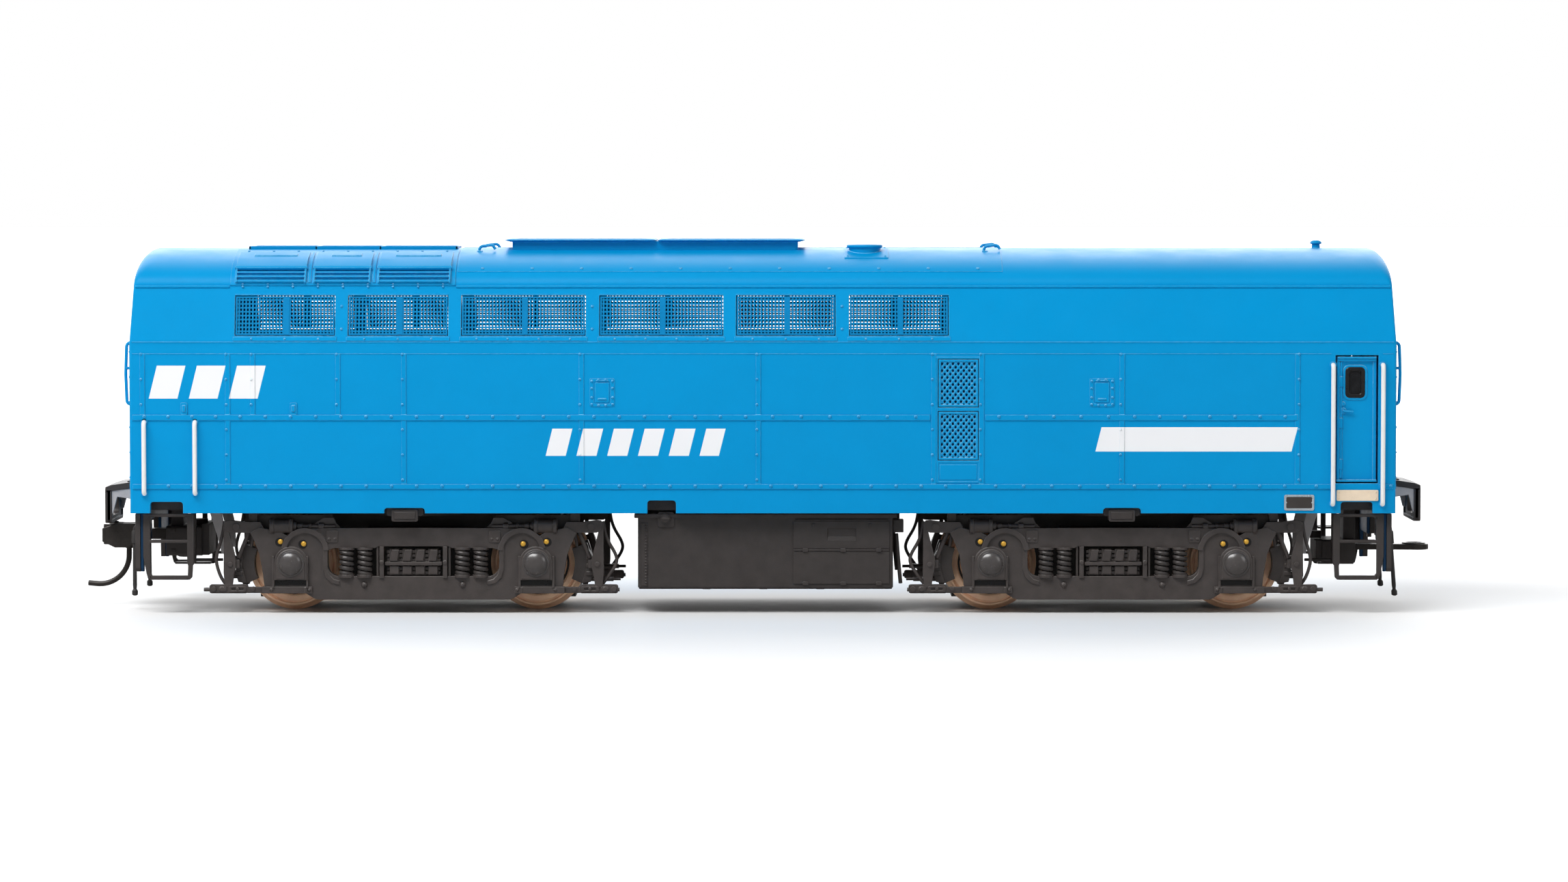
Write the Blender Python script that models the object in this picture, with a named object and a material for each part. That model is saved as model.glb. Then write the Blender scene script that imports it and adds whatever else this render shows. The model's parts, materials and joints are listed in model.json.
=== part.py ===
"""HO-scale model of a cab-less diesel booster locomotive, as an assembly of parts.

World frame: metres, +Z up. X runs along the locomotive with its front at +X, Y runs
across it (the right side is -Y), and Z = 0 is the top of the rails. The origin is
midway between the two truck centres. Lengths below are in millimetres (1:87 scale)
and become metres where a mesh is made. Every named object is one physical piece.
"""
import math

import bmesh
import bpy
from mathutils import Matrix, Vector

MM = 0.001

# ---- running gear -------------------------------------------------------------------
TRUCK_CENTRE_X = 49.1        # each truck's pivot, from the middle of the locomotive
WHEELBASE = 34.4             # 9 ft 10 in at 1:87
AXLE_X = WHEELBASE / 2
AXLE_Z = 6.1
TREAD_RADIUS = 6.1           # 42 in wheels
FLANGE_RADIUS = 6.75
WHEEL_BACK_Y = 7.2           # inside face, for 14.4 mm back to back
WHEEL_FACE_Y = 10.0
AXLE_RADIUS = 1.0
AXLE_END_Y = 10.6

# ---- gear train, one per truck -------------------------------------------------------
GEAR_MODULE = 0.5
WORM_GEAR_TEETH = 16
TRANSFER_TEETH = 16
IDLER_TEETH = 19
AXLE_GEAR_TEETH = 15
GEAR_HALF_WIDTH = 1.0
GEAR_BORE = 1.3
GEAR_PIN_RADIUS = 1.0
TRANSFER_Z = 7.2
WORM_PITCH_RADIUS = 2.0
WORM_MESH_CLEARANCE = 0.1
WORM_LEAD = math.pi * GEAR_MODULE
ADDENDUM = 0.8               # in modules
DEDENDUM = 1.2
TOOTH_ROOT_SHARE = 0.27      # half a tooth's width as a share of the pitch
TOOTH_TIP_SHARE = 0.12

# ---- body ----------------------------------------------------------------------------
BODY_REAR_X = -88.5
BODY_FRONT_X = 88.4
BODY_HALF_WIDTH = 17.5
SKIRT_Z = 13.55
SHOULDER_Z = 37.55
EAVE_Z = 45.2
EAVE_HALF_WIDTH = 15.9
ROOF_RISE = 5.2
END_EAVE_SETBACK = 0.45      # how far the end leans in between shoulder and eave
END_CURVE_LENGTH = 2.0       # length of the roof's rounded ends
ROOF_STEPS = 20              # flats that make up the roof's curve
WALL = 1.2
FIT = 0.1                    # gap left between pieces that touch

WINDOW_SPANS = ((-73.8, -59.8), (-58.0, -44.0), (-42.2, -24.8),
                (-22.9, -5.6), (-3.8, 10.1), (12.0, 25.9))
WINDOW_Z = (38.35, 43.95)
GRILLE_X = (24.4, 30.1)
GRILLE_Z_SPANS = ((20.95, 27.85), (28.35, 35.15))
GRILLE_DEPTH = 0.5
DOOR_X = (79.9, 85.9)
DOOR_Z = (17.75, 35.65)
DOOR_WINDOW_X = (81.3, 83.9)
DOOR_WINDOW_Z = (29.75, 33.75)
SKIRT_NOTCHES = ((-85.7, -81.1, 15.15), (80.7, 85.2, 15.15), (-16.2, -12.2, 15.35),
                 (-53.0, -47.3, 14.3), (47.5, 52.8, 14.3))

# ---- chassis ---------------------------------------------------------------------------
FLOOR_Z = (13.9, 15.4)
WEIGHT_TOP_Z = 24.0
WEIGHT_Y = (10.5, 15.6)
CHASSIS_END_X = 86.6
PIVOT_HOLE_RADIUS = 9.0
COLLAR_RADIUS = 8.6

# ---- fuel tank ---------------------------------------------------------------------------
TANK_X = (-17.6, 18.2)
TANK_Z = (2.6, 13.4)
TANK_HALF_WIDTH = 15.0
TANK_WALL = 1.3

# ---- drive line ------------------------------------------------------------------------
MOTOR_HALF_LENGTH = 12.5
MOTOR_HALF_SIZE = 7.5
FLYWHEEL_RADIUS = 6.2
FLYWHEEL_X = (17.5, 26.5)
SHAFT_RADIUS = 1.0
CUP_X = (7.6, 11.0)          # the worm shaft's cup, from the truck's centre inwards
CUP_BALL_X = 9.4
CUP_OUTER, CUP_INNER = 3.0, 2.45

# ---- ends ------------------------------------------------------------------------------
COUPLER_PIVOT_X = -82.5
COUPLER_Z = 9.6
KNUCKLE_PIVOT = (-92.9, 2.0)
DRAWBAR_PIVOT_X = 81.0
DRAWBAR_Z = (7.45, 8.05)
DRAWBAR_TIP_X = 95.1

RAIL_SIDES = (("right", -1), ("left", 1))
TRUCKS = (("front", 1), ("rear", -1))

WORM_GEAR_Z = TRANSFER_Z + (WORM_GEAR_TEETH + TRANSFER_TEETH) * GEAR_MODULE / 2
WORM_Z = WORM_GEAR_Z + WORM_GEAR_TEETH * GEAR_MODULE / 2 + WORM_PITCH_RADIUS + WORM_MESH_CLEARANCE


# ---- making solids -----------------------------------------------------------------------
def clear_scene():
    for thing in list(bpy.data.objects):
        bpy.data.objects.remove(thing, do_unlink=True)


def paint(name, colour, roughness, metallic=0.0):
    """A Principled material; colour is linear RGB."""
    made = bpy.data.materials.new(name)
    made.use_nodes = True
    shader = made.node_tree.nodes["Principled BSDF"]
    shader.inputs["Base Color"].default_value = (*colour, 1.0)
    shader.inputs["Roughness"].default_value = roughness
    shader.inputs["Metallic"].default_value = metallic
    made.diffuse_color = (*colour, 1.0)
    return made


def solid(points, faces):
    """A closed object from corner points in millimetres, with its faces pointing out."""
    mesh = bpy.data.meshes.new("solid")
    work = bmesh.new()
    corners = [work.verts.new(Vector(point) * MM) for point in points]
    for face in faces:
        work.faces.new([corners[index] for index in face])
    bmesh.ops.recalc_face_normals(work, faces=work.faces)
    work.to_mesh(mesh)
    work.free()
    made = bpy.data.objects.new("solid", mesh)
    bpy.context.collection.objects.link(made)
    return made


def stack(loops):
    """A closed solid through a row of loops that have equal numbers of points."""
    count = len(loops[0])
    points = [point for loop in loops for point in loop]
    faces = [tuple(range(count)), tuple(range(len(points) - count, len(points)))]
    for row in range(len(loops) - 1):
        for here in range(count):
            after = (here + 1) % count
            base = row * count
            faces.append((base + here, base + after, base + count + after, base + count + here))
    return solid(points, faces)


def on_axis(axis, along, first, second):
    """The point that is along an axis, with its two other coordinates in X, Y, Z order."""
    return {"X": (along, first, second), "Y": (first, along, second), "Z": (first, second, along)}[axis]


def prism(outline, axis, low, high):
    """An outline, in the other two coordinates, drawn out along an axis."""
    return stack([[on_axis(axis, end, *point) for point in outline] for end in (low, high)])


def box(x, y, z):
    """A block between the pairs of limits x, y and z."""
    corners = ((x[0], y[0]), (x[1], y[0]), (x[1], y[1]), (x[0], y[1]))
    return prism(corners, "Z", z[0], z[1])


def mirrored(low, high, sign):
    """The span from low to high, on the side that the sign gives, in rising order."""
    return tuple(sorted((sign * low, sign * high)))


def circle(centre, radius, sides, start=0.0):
    turn = 2 * math.pi / sides
    return [(centre[0] + radius * math.cos(start + step * turn),
             centre[1] + radius * math.sin(start + step * turn)) for step in range(sides)]


def rod(axis, centre, radius, low, high, sides=16):
    """A round bar along an axis; centre is in the other two coordinates."""
    return prism(circle(centre, radius, sides), axis, low, high)


def lathe(profile, axis, centre, sides=20):
    """A turned solid. The profile is (along, radius) from one end to the other."""
    loops = [[on_axis(axis, along, *point) for point in circle(centre, radius, sides)]
             for along, radius in profile]
    return stack(loops)


def tube(path, radius, sides=6):
    """A round wire along a path of points; each ring stands square to the path there."""
    spots = [Vector(point) for point in path]
    loops = []
    for index, spot in enumerate(spots):
        ahead = spots[min(index + 1, len(spots) - 1)] - spots[max(index - 1, 0)]
        frame = ahead.to_track_quat("Z", "Y").to_matrix()
        loops.append([spot + frame @ Vector((*point, 0.0)) for point in circle((0, 0), radius, sides)])
    return stack(loops)


def combine(base, others, operation):
    """Join, cut or intersect solids, and remove the ones that were used up."""
    for other in others:
        step = base.modifiers.new("step", "BOOLEAN")
        step.operation = operation
        step.object = other
        step.solver = "EXACT"
        bpy.context.view_layer.update()
        seen = base.evaluated_get(bpy.context.evaluated_depsgraph_get())
        result = bpy.data.meshes.new_from_object(seen)
        base.modifiers.clear()
        base.data = result
        bpy.data.objects.remove(other, do_unlink=True)
    return base


def join(base, *others):
    return combine(base, others, "UNION")


def cut(base, *others):
    return combine(base, others, "DIFFERENCE")


def tidy(mesh):
    """Merge doubled points and melt faces that have no area."""
    work = bmesh.new()
    work.from_mesh(mesh)
    bmesh.ops.remove_doubles(work, verts=work.verts, dist=1e-6)
    bmesh.ops.dissolve_degenerate(work, edges=work.edges, dist=1e-6)
    work.to_mesh(mesh)
    work.free()


def node(made, name, finish, parent=None, origin=(0.0, 0.0, 0.0)):
    """Name a finished piece and put its origin at a point (mm, in its parent's frame)."""
    tidy(made.data)
    place = Vector(origin) * MM
    made.data.transform(Matrix.Translation(-place))
    made.location = place
    made.name = made.data.name = name
    made.data.materials.clear()
    made.data.materials.append(finish)
    made.data.shade_smooth()
    made.data.set_sharp_from_angle(angle=math.radians(30))
    made.parent = parent
    return made


def pivot(name, origin, parent=None):
    """An empty on a joint's axis, as a parent for the pieces that turn about it."""
    made = bpy.data.objects.new(name, None)
    made.location = Vector(origin) * MM
    made.parent = parent
    bpy.context.collection.objects.link(made)
    return made


# ---- body shell ----------------------------------------------------------------------------
def roof_curve(inset=0.0):
    """The roof's elliptic curve (y, z), from its left eave to its right one."""
    half, rise = EAVE_HALF_WIDTH - inset, ROOF_RISE - inset
    angles = [math.pi * step / ROOF_STEPS for step in range(ROOF_STEPS + 1)]
    return [(half * math.cos(angle), EAVE_Z + rise * math.sin(angle)) for angle in angles]


def roof_z(y):
    """Height of the roof's flats at y."""
    curve = roof_curve()
    for (y_high, z_high), (y_low, z_low) in zip(curve, curve[1:]):
        if y_low <= y <= y_high:
            return z_low + (z_high - z_low) * (y - y_low) / (y_high - y_low)
    return EAVE_Z


def body_section(inset, bottom):
    """The body's cross-section (y, z): upright sides, leaning tops and an elliptic roof."""
    half = BODY_HALF_WIDTH - inset
    return [(half, bottom), (half, SHOULDER_Z), *roof_curve(inset), (-half, SHOULDER_Z), (-half, bottom)]


def body_profile(inset, bottom, steps=6):
    """The body seen from its side (x, z), with the roof's ends rounded down."""
    top = []
    for end_x, sign in ((BODY_FRONT_X, 1), (BODY_REAR_X, -1)):
        wall_x = end_x - sign * inset
        curve_x = wall_x - sign * (END_EAVE_SETBACK + END_CURVE_LENGTH)
        arc = [(curve_x + sign * END_CURVE_LENGTH * math.cos(math.pi / 2 * step / steps),
                EAVE_Z + (ROOF_RISE - inset) * math.sin(math.pi / 2 * step / steps))
               for step in range(steps + 1)]
        side = [(wall_x, bottom), (wall_x, SHOULDER_Z), *arc]
        top += side if sign > 0 else side[::-1]
    return top


def body_block(inset, bottom):
    """The body's outside, or the hollow inside it, as one solid."""
    reach = BODY_FRONT_X + 2
    length = prism(body_section(inset, bottom), "X", -reach, reach)
    width = prism(body_profile(inset, bottom), "Y", -BODY_HALF_WIDTH - 1, BODY_HALF_WIDTH + 1)
    return combine(length, [width], "INTERSECT")


def make_body_shell(blue):
    outside = BODY_HALF_WIDTH + 1
    inside = BODY_HALF_WIDTH - WALL
    shell = cut(body_block(0.0, SKIRT_Z), body_block(WALL, SKIRT_Z - 2))
    for _, sign in RAIL_SIDES:
        for span in WINDOW_SPANS:
            cut(shell, box(span, mirrored(12.5, outside, sign), WINDOW_Z))
        for heights in GRILLE_Z_SPANS:
            cut(shell, box(GRILLE_X, mirrored(BODY_HALF_WIDTH - GRILLE_DEPTH, outside, sign), heights))
        cut(shell, box(DOOR_X, mirrored(inside - 0.5, outside, sign), DOOR_Z))
        for low, high, top in SKIRT_NOTCHES:
            cut(shell, box((low, high), mirrored(inside - 0.5, outside, sign), (SKIRT_Z - 1, top)))
    for end_x, sign in ((BODY_FRONT_X, 1), (BODY_REAR_X, -1)):
        end_door_depth = 0.4
        depth = tuple(sorted((end_x - sign * end_door_depth, end_x + sign)))
        cut(shell, box(depth, (-4.2, 4.2), (18.0, 41.0)))
    node(shell, "body_shell", blue)


def roof_saddle(y, x, lift, thickness):
    """A plate bent over the roof's flats between the limits y, standing lift above them."""
    bends = [bend for bend, _ in roof_curve() if y[0] < bend < y[1]]
    under = [(spot, roof_z(spot) + lift) for spot in (y[1], *bends, y[0])]
    over = [(y, z + thickness) for y, z in under]
    return prism(under + over[::-1], "X", *x)


def make_roof_pieces(blue, screen):
    louvre_half = 15.2
    hatch = roof_saddle((-louvre_half, louvre_half), (-74.5, -43.0), FIT, 0.55)
    for _, sign in RAIL_SIDES:
        for edge in (-63.45, -54.4):
            groove = roof_saddle(mirrored(6.4, 15.8, sign), (edge - 0.4, edge + 0.4), FIT + 0.3, 2)
            cut(hatch, groove)
    node(hatch, "roof_louvre_hatch", blue)

    radiator_half, plate_half = 6.0, 6.5
    base = roof_saddle((-radiator_half, radiator_half), (-36.0, 5.4), FIT, 0.9)
    plate = box((-36.6, 5.9), (-plate_half, plate_half), (51.2, 51.75))
    node(join(base, plate), "radiator_hatch", blue)

    stack_x, stack_y, stack_radius = 14.3, -6.8, 2.35
    foot = roof_saddle((-11.0, -3.8), (11.4, 17.6), FIT, 0.35)
    pipe = rod("Z", (stack_x, stack_y), stack_radius, 49.3, 50.95, 20)
    below = roof_saddle((-12, -2), (10, 19), FIT - 2, 2)
    mouth = rod("Z", (stack_x, stack_y), stack_radius - 0.5, 50.55, 52, 20)
    node(cut(join(foot, pipe), below, mouth), "exhaust_stack", blue)

    vent = lathe([(50.5, 0.65), (51.0, 0.65), (51.0, 0.8), (51.35, 0.8), (51.5, 0.5)], "Z", (78.8, 0.0), 12)
    node(vent, "mushroom_vent", blue)

    for side, sign in RAIL_SIDES:
        lean = (BODY_HALF_WIDTH - EAVE_HALF_WIDTH) / (EAVE_Z - SHOULDER_Z)
        low, high = WINDOW_Z[0] - 0.3, WINDOW_Z[1] + 0.3
        outer = [(BODY_HALF_WIDTH - WALL - FIT - lean * (z - SHOULDER_Z), z) for z in (low, high)]
        inner = [(y - 0.4, z) for y, z in outer[::-1]]
        strip = prism([(sign * y, z) for y, z in outer + inner], "X", -75.3, 27.4)
        node(strip, f"window_screens_{side}", screen)


def make_side_doors(blue):
    for side, sign in RAIL_SIDES:
        gap = 0.2
        leaf = box((DOOR_X[0] + gap, DOOR_X[1] - gap), mirrored(16.0, 16.9, sign),
                   (DOOR_Z[0] + gap, DOOR_Z[1] - gap))
        window = box(DOOR_WINDOW_X, mirrored(15, 18, sign), DOOR_WINDOW_Z)
        handle = box((80.6, 81.5), mirrored(16.8, 17.4, sign), (27.4, 27.8))
        node(join(cut(leaf, window), handle), f"side_door_{side}", blue)


def make_handrails(white):
    rail_y, foot_y, radius = 18.3, BODY_HALF_WIDTH + FIT, 0.32
    bend = 0.35
    rails = {"end_outer": (-86.45, 16.3, 26.35), "end_inner": (-79.35, 16.3, 26.35),
             "door_inner": (79.55, 14.8, 34.35), "door_outer": (86.5, 14.8, 34.35)}
    for side, sign in RAIL_SIDES:
        for place, (x, low, high) in rails.items():
            half = [(foot_y, low), (rail_y - bend, low), (rail_y, low + bend)]
            path = [(x, sign * y, z) for y, z in half + [(y, low + high - z) for y, z in half[::-1]]]
            node(tube(path, radius), f"handrail_{side}_{place}", white)


# ---- chassis and tank ------------------------------------------------------------------------
def make_chassis(metal):
    frame = box((-CHASSIS_END_X, CHASSIS_END_X), (-WEIGHT_Y[1], WEIGHT_Y[1]), (FLOOR_Z[0], WEIGHT_TOP_Z))
    well = box((-CHASSIS_END_X + 2, CHASSIS_END_X - 2), (-WEIGHT_Y[0], WEIGHT_Y[0]),
               (FLOOR_Z[1], WEIGHT_TOP_Z + 1))
    motor_opening = box((-28, 28), (-9.5, 9.5), (FLOOR_Z[0] - 1, FLOOR_Z[1] + 1))
    cut(frame, well, motor_opening)
    for _, sign in TRUCKS:
        hole = rod("Z", (sign * TRUCK_CENTRE_X, 0), PIVOT_HOLE_RADIUS, FLOOR_Z[0] - 1, FLOOR_Z[1] + 1, 20)
        cut(frame, hole)
    for x in (-26.0, 44.0):
        for side in (-1, 1):
            join(frame, box((x, x + 2.5), mirrored(10.8, 13.0, side), (WEIGHT_TOP_Z - 1, 31.2)))
    node(frame, "chassis_frame", metal)


def make_fuel_tank(black):
    tank = box(TANK_X, (-TANK_HALF_WIDTH, TANK_HALF_WIDTH), TANK_Z)
    flange = box((TANK_X[0] - 0.5, TANK_X[1] + 0.6), (-TANK_HALF_WIDTH - 0.4, TANK_HALF_WIDTH + 0.4),
                 (12.75, TANK_Z[1] + 0.05))
    join(tank, flange)
    hollow = box((TANK_X[0] + TANK_WALL, TANK_X[1] - TANK_WALL),
                 (TANK_WALL - TANK_HALF_WIDTH, TANK_HALF_WIDTH - TANK_WALL),
                 (TANK_Z[0] + TANK_WALL, TANK_Z[1] + 1))
    cut(tank, hollow)
    for sign in (-1, 1):
        for door_z in ((3.15, 8.1), (8.5, 12.3)):
            depth = mirrored(TANK_HALF_WIDTH - 0.3, TANK_HALF_WIDTH + 0.25, sign)
            join(tank, box((4.2, 17.8), depth, door_z))
    node(tank, "fuel_tank", black)


# ---- motor and drive line ----------------------------------------------------------------------
def make_motor(metal, steel, brass, board):
    corner = 3.2
    half = MOTOR_HALF_SIZE
    outline = []
    for sy, sz, start in ((1, -1, -90), (1, 1, 0), (-1, 1, 90), (-1, -1, 180)):
        for step in range(4):
            angle = math.radians(start + 30 * step)
            outline.append((sy * (half - corner) + corner * math.cos(angle),
                            WORM_Z + sz * (half - corner) + corner * math.sin(angle)))
    can = prism(outline, "X", -MOTOR_HALF_LENGTH, MOTOR_HALF_LENGTH)
    bell = rod("X", (0, WORM_Z), 3.4, -MOTOR_HALF_LENGTH - 1.8, MOTOR_HALF_LENGTH + 1.8, 12)
    chamber = rod("X", (0, WORM_Z), 6.2, -11.2, 11.2, 12)
    bore = rod("X", (0, WORM_Z), SHAFT_RADIUS + 0.3, -20, 20, 10)
    node(cut(join(can, bell), chamber, bore), "motor", metal)

    axis = pivot("motor_axis", (0, 0, WORM_Z))
    end = 23.2
    armature = [(-end, SHAFT_RADIUS), (-9, SHAFT_RADIUS), (-9, 5.5), (9, 5.5), (9, SHAFT_RADIUS),
                (end, SHAFT_RADIUS)]
    node(lathe(armature, "X", (0, 0), 12), "motor_shaft", steel, axis)

    for place, sign in TRUCKS:
        wheel = rod("X", (0, 0), FLYWHEEL_RADIUS, *mirrored(*FLYWHEEL_X, sign), 18)
        bore = rod("X", (0, 0), SHAFT_RADIUS + 0.3, *mirrored(10, 30, sign), 10)
        socket = rod("X", (0, 0), 2.4, *mirrored(23.5, 30, sign), 10)
        node(cut(wheel, bore, socket), f"flywheel_{place}", brass, axis)
        ball_x = TRUCK_CENTRE_X - CUP_BALL_X
        inner_ball, outer_ball = 1.6, 0.9
        profile = [(24.0, 0.8), (24.4, inner_ball), (25.6, inner_ball), (26.4, 0.6),
                   (ball_x - 1.1, 0.6), (ball_x - 0.6, outer_ball), (ball_x + 0.4, outer_ball),
                   (ball_x + 0.8, 0.4)]
        rows = [(sign * along, radius) for along, radius in profile]
        node(lathe(rows, "X", (0, 0), 8), f"drive_shaft_{place}", steel, axis)

    card = box((-30, 50), (-13.2, 13.2), (31.5, 32.7))
    parts = [box((-18, -8), (-5, 5), (32.4, 35.2)), box((0, 22), (-3, 3), (32.4, 36.0)),
             box((30, 42), (-7, 2), (32.4, 34.2))]
    node(join(card, *parts), "circuit_board", board)


def make_speaker(black):
    body = box((-82, -64), (-8.5, 8.5), (15.8, 20.2))
    cone = lathe([(19.2, 4.0), (20.9, 7.0)], "Z", (-73, 0), 20)
    node(cut(body, cone), "speaker", black)


# ---- ends -----------------------------------------------------------------------------------------
def make_coupler_box(black):
    case = box((-89.0, -79.3), (-4.6, 4.6), (7.5, 11.5))
    room = box((-90, -80.3), (-3.8, 3.8), (8.3, 10.8))
    post = rod("Z", (COUPLER_PIVOT_X, 0), 1.0, 8.0, 11.2, 12)
    block = box((-84.6, -82.6), (-3, 3), (11.0, 13.6))
    screw = rod("Z", (COUPLER_PIVOT_X, 0), 1.6, 6.6, 8.0, 12)
    node(join(cut(case, room), post, block, screw), "coupler_box_rear", black)


def make_coupler(black):
    low, high = COUPLER_Z - 0.75, COUPLER_Z + 0.75
    eye = rod("Z", (COUPLER_PIVOT_X, 0), 2.2, low, high, 18)
    shank = box((-90.6, COUPLER_PIVOT_X - 1), (-1.2, 1.2), (low, high))
    head = box((-91.7, -89.9), (-2.9, 2.9), (8.2, 11.1))
    guard = prism([(-91.4, -2.9), (-94.0, -2.9), (-94.2, -2.3), (-92.4, -1.7), (-91.4, -1.5)], "Z", 8.2, 11.1)
    join(eye, shank, head, guard)
    ear_outline = [(-91.4, 0.9), (-91.4, 2.9), (-93.4, 2.9), (-93.7, 2.2), (-93.4, 1.3), (-92.4, 0.9)]
    for ear in ((8.2, 8.75), (10.55, 11.1)):
        join(eye, prism(ear_outline, "Z", *ear))
    join(eye, rod("Z", KNUCKLE_PIVOT, 0.4, 8.5, 10.8, 10))
    trip = [(-90.8, 8.6), (-90.85, 6.2), (-91.3, 4.4), (-92.3, 3.1), (-93.6, 2.5), (-95.2, 2.35),
            (-96.7, 2.55)]
    join(eye, tube([(x, 0, z) for x, z in trip], 0.33))
    cut(eye, rod("Z", (COUPLER_PIVOT_X, 0), 1.3, low - 1, high + 1, 12))
    node(eye, "coupler", black, origin=(COUPLER_PIVOT_X, 0, COUPLER_Z))

    hook = [(-92.1, 1.4), (-92.1, 2.6), (-92.6, 3.0), (-93.6, 3.0), (-94.2, 2.2), (-94.4, -0.9),
            (-93.9, -1.2), (-93.4, -0.7), (-93.2, 1.0)]
    knuckle = prism(hook, "Z", 8.95, 10.35)
    cut(knuckle, rod("Z", KNUCKLE_PIVOT, 0.6, 8, 12, 10))
    node(knuckle, "coupler_knuckle", black, origin=(*KNUCKLE_PIVOT, COUPLER_Z))


def make_drawbar(black):
    case = box((78.1, 86.4), (-4.2, 4.2), (6.0, 9.2))
    room = box((79.0, 88), (-3.4, 3.4), (6.9, 8.5))
    post = rod("Z", (DRAWBAR_PIVOT_X, 0), 0.9, 6.5, 8.9, 12)
    block = box((82.6, 84.4), (-3, 3), (8.9, 13.6))
    node(join(cut(case, room), post, block), "drawbar_box_front", black)

    bar = box((DRAWBAR_PIVOT_X, DRAWBAR_TIP_X - 1.9), (-1.9, 1.9), DRAWBAR_Z)
    join(bar, rod("Z", (DRAWBAR_PIVOT_X, 0), 1.9, *DRAWBAR_Z, 16))
    join(bar, rod("Z", (DRAWBAR_TIP_X - 1.9, 0), 1.9, *DRAWBAR_Z, 16))
    for x in (DRAWBAR_PIVOT_X, DRAWBAR_TIP_X - 2.1):
        cut(bar, rod("Z", (x, 0), 1.15, DRAWBAR_Z[0] - 1, DRAWBAR_Z[1] + 1, 12))
    node(bar, "drawbar", black, origin=(DRAWBAR_PIVOT_X, 0, sum(DRAWBAR_Z) / 2))


def make_buffers(black):
    half, plate = 6.5, 0.8
    ends = (("buffer_rear", BODY_REAR_X, -93.4, 0.0), ("buffer_front", BODY_FRONT_X, 93.2, 0.3))
    for name, wall_x, tip_x, drop in ends:
        out = 1 if tip_x > 0 else -1
        near = wall_x + out * 2 * FIT
        low, high = 11.45 + drop, 16.6 + drop
        face = box(tuple(sorted((tip_x, tip_x - out * plate))), (-half, half), (low, high))
        slope_x = tip_x - out * 0.2
        top = prism([(slope_x, high - plate), (near, high + 0.1), (near, high + 0.9), (slope_x, high)],
                    "Y", -half, half)
        join(face, top)
        for sign in (-1, 1):
            gusset = prism([(tip_x - out * 0.4, high - 0.4), (near, high + 0.4), (near, high - 3.0),
                            (near + out * 1.0, high - 2.6), (tip_x - out * 1.6, high - 1.7),
                            (tip_x - out * 0.4, low + 1.2)], "Y", *mirrored(half - plate, half - 0.1, sign))
            join(face, gusset)
        node(face, name, black)


def make_pilots(black):
    """A cross plate under each end with a step ladder at both of its sides."""
    post_y = (15.4, 16.2)
    tread_y = (13.8, 16.2)
    spans = {"pilot_rear": (-88.0, -86.9, (-86.9, -85.9), (-80.8, -79.9)),
             "pilot_front": (87.4, 86.3, (85.4, 86.3), (79.6, 80.5))}
    for name, (outer_x, inner_x, far_post, near_post) in spans.items():
        plate_x = tuple(sorted((outer_x, inner_x)))
        gap = box((plate_x[0] - 1, plate_x[1] + 1), (-5.6, 5.6), (4, 12.0))
        pilot = cut(box(plate_x, (-15.9, 15.9), (5.25, 13.4)), gap)
        low_x, high_x = min(far_post[0], near_post[0]), max(far_post[1], near_post[1])
        reach = (min(low_x, plate_x[0] + 0.5), max(high_x, plate_x[1] - 0.5))
        for sign in (-1, 1):
            posts = mirrored(*post_y, sign)
            treads = mirrored(*tread_y, sign)
            join(pilot, box(reach, treads, (12.9, 13.35)))
            join(pilot, box(reach, treads, (9.3, 9.8)))
            join(pilot, box(far_post, posts, (4.6, 13.2)))
            join(pilot, box(near_post, posts, (4.6, 13.2)))
            tread = prism([(low_x, 4.9), (low_x + 0.5, 4.0), (high_x - 0.5, 4.0), (high_x, 4.9),
                           (high_x - 0.7, 4.9), (high_x - 0.9, 4.6), (low_x + 0.9, 4.6), (low_x + 0.7, 4.9)],
                          "Y", *treads)
            join(pilot, tread)
        node(pilot, name, black)


# ---- gears ------------------------------------------------------------------------------------------
def gear_solid(teeth, phase, centre, bore):
    """A straight-toothed gear on a Y axis; its teeth are thin, for backlash in the mesh."""
    pitch_radius = teeth * GEAR_MODULE / 2
    root = pitch_radius - DEDENDUM * GEAR_MODULE
    tip = pitch_radius + ADDENDUM * GEAR_MODULE
    step = 2 * math.pi / teeth
    outline = []
    for tooth in range(teeth):
        middle = phase + tooth * step
        for radius, share in ((root, -TOOTH_ROOT_SHARE), (tip, -TOOTH_TIP_SHARE),
                              (tip, TOOTH_TIP_SHARE), (root, TOOTH_ROOT_SHARE)):
            angle = middle + share * step
            outline.append((centre[0] + radius * math.cos(angle), centre[1] + radius * math.sin(angle)))
    gear = prism(outline, "Y", -GEAR_HALF_WIDTH, GEAR_HALF_WIDTH)
    if bore:
        cut(gear, rod("Y", centre, bore, -3, 3, 8))
    return gear


def mating_phase(teeth, phase, centre, other_teeth, other_centre):
    """The phase that puts the other gear's gap where this gear has a tooth."""
    towards = math.atan2(other_centre[1] - centre[1], other_centre[0] - centre[0])
    step = 2 * math.pi / teeth
    share = ((towards - phase) / step) % 1.0
    return towards + math.pi + (share - 0.5) * 2 * math.pi / other_teeth


def idler_centre(side):
    """Where the idler touches both the transfer gear and the axle gear."""
    start, goal = Vector((0.0, TRANSFER_Z)), Vector((AXLE_X, AXLE_Z))
    to_start = (TRANSFER_TEETH + IDLER_TEETH) * GEAR_MODULE / 2
    to_goal = (IDLER_TEETH + AXLE_GEAR_TEETH) * GEAR_MODULE / 2
    span = (goal - start).length
    along = (span ** 2 + to_start ** 2 - to_goal ** 2) / (2 * span)
    rise = math.sqrt(to_start ** 2 - along ** 2)
    direction = (goal - start) / span
    spot = start + direction * along + Vector((-direction.y, direction.x)) * rise
    return side * spot.x, spot.y


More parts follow.
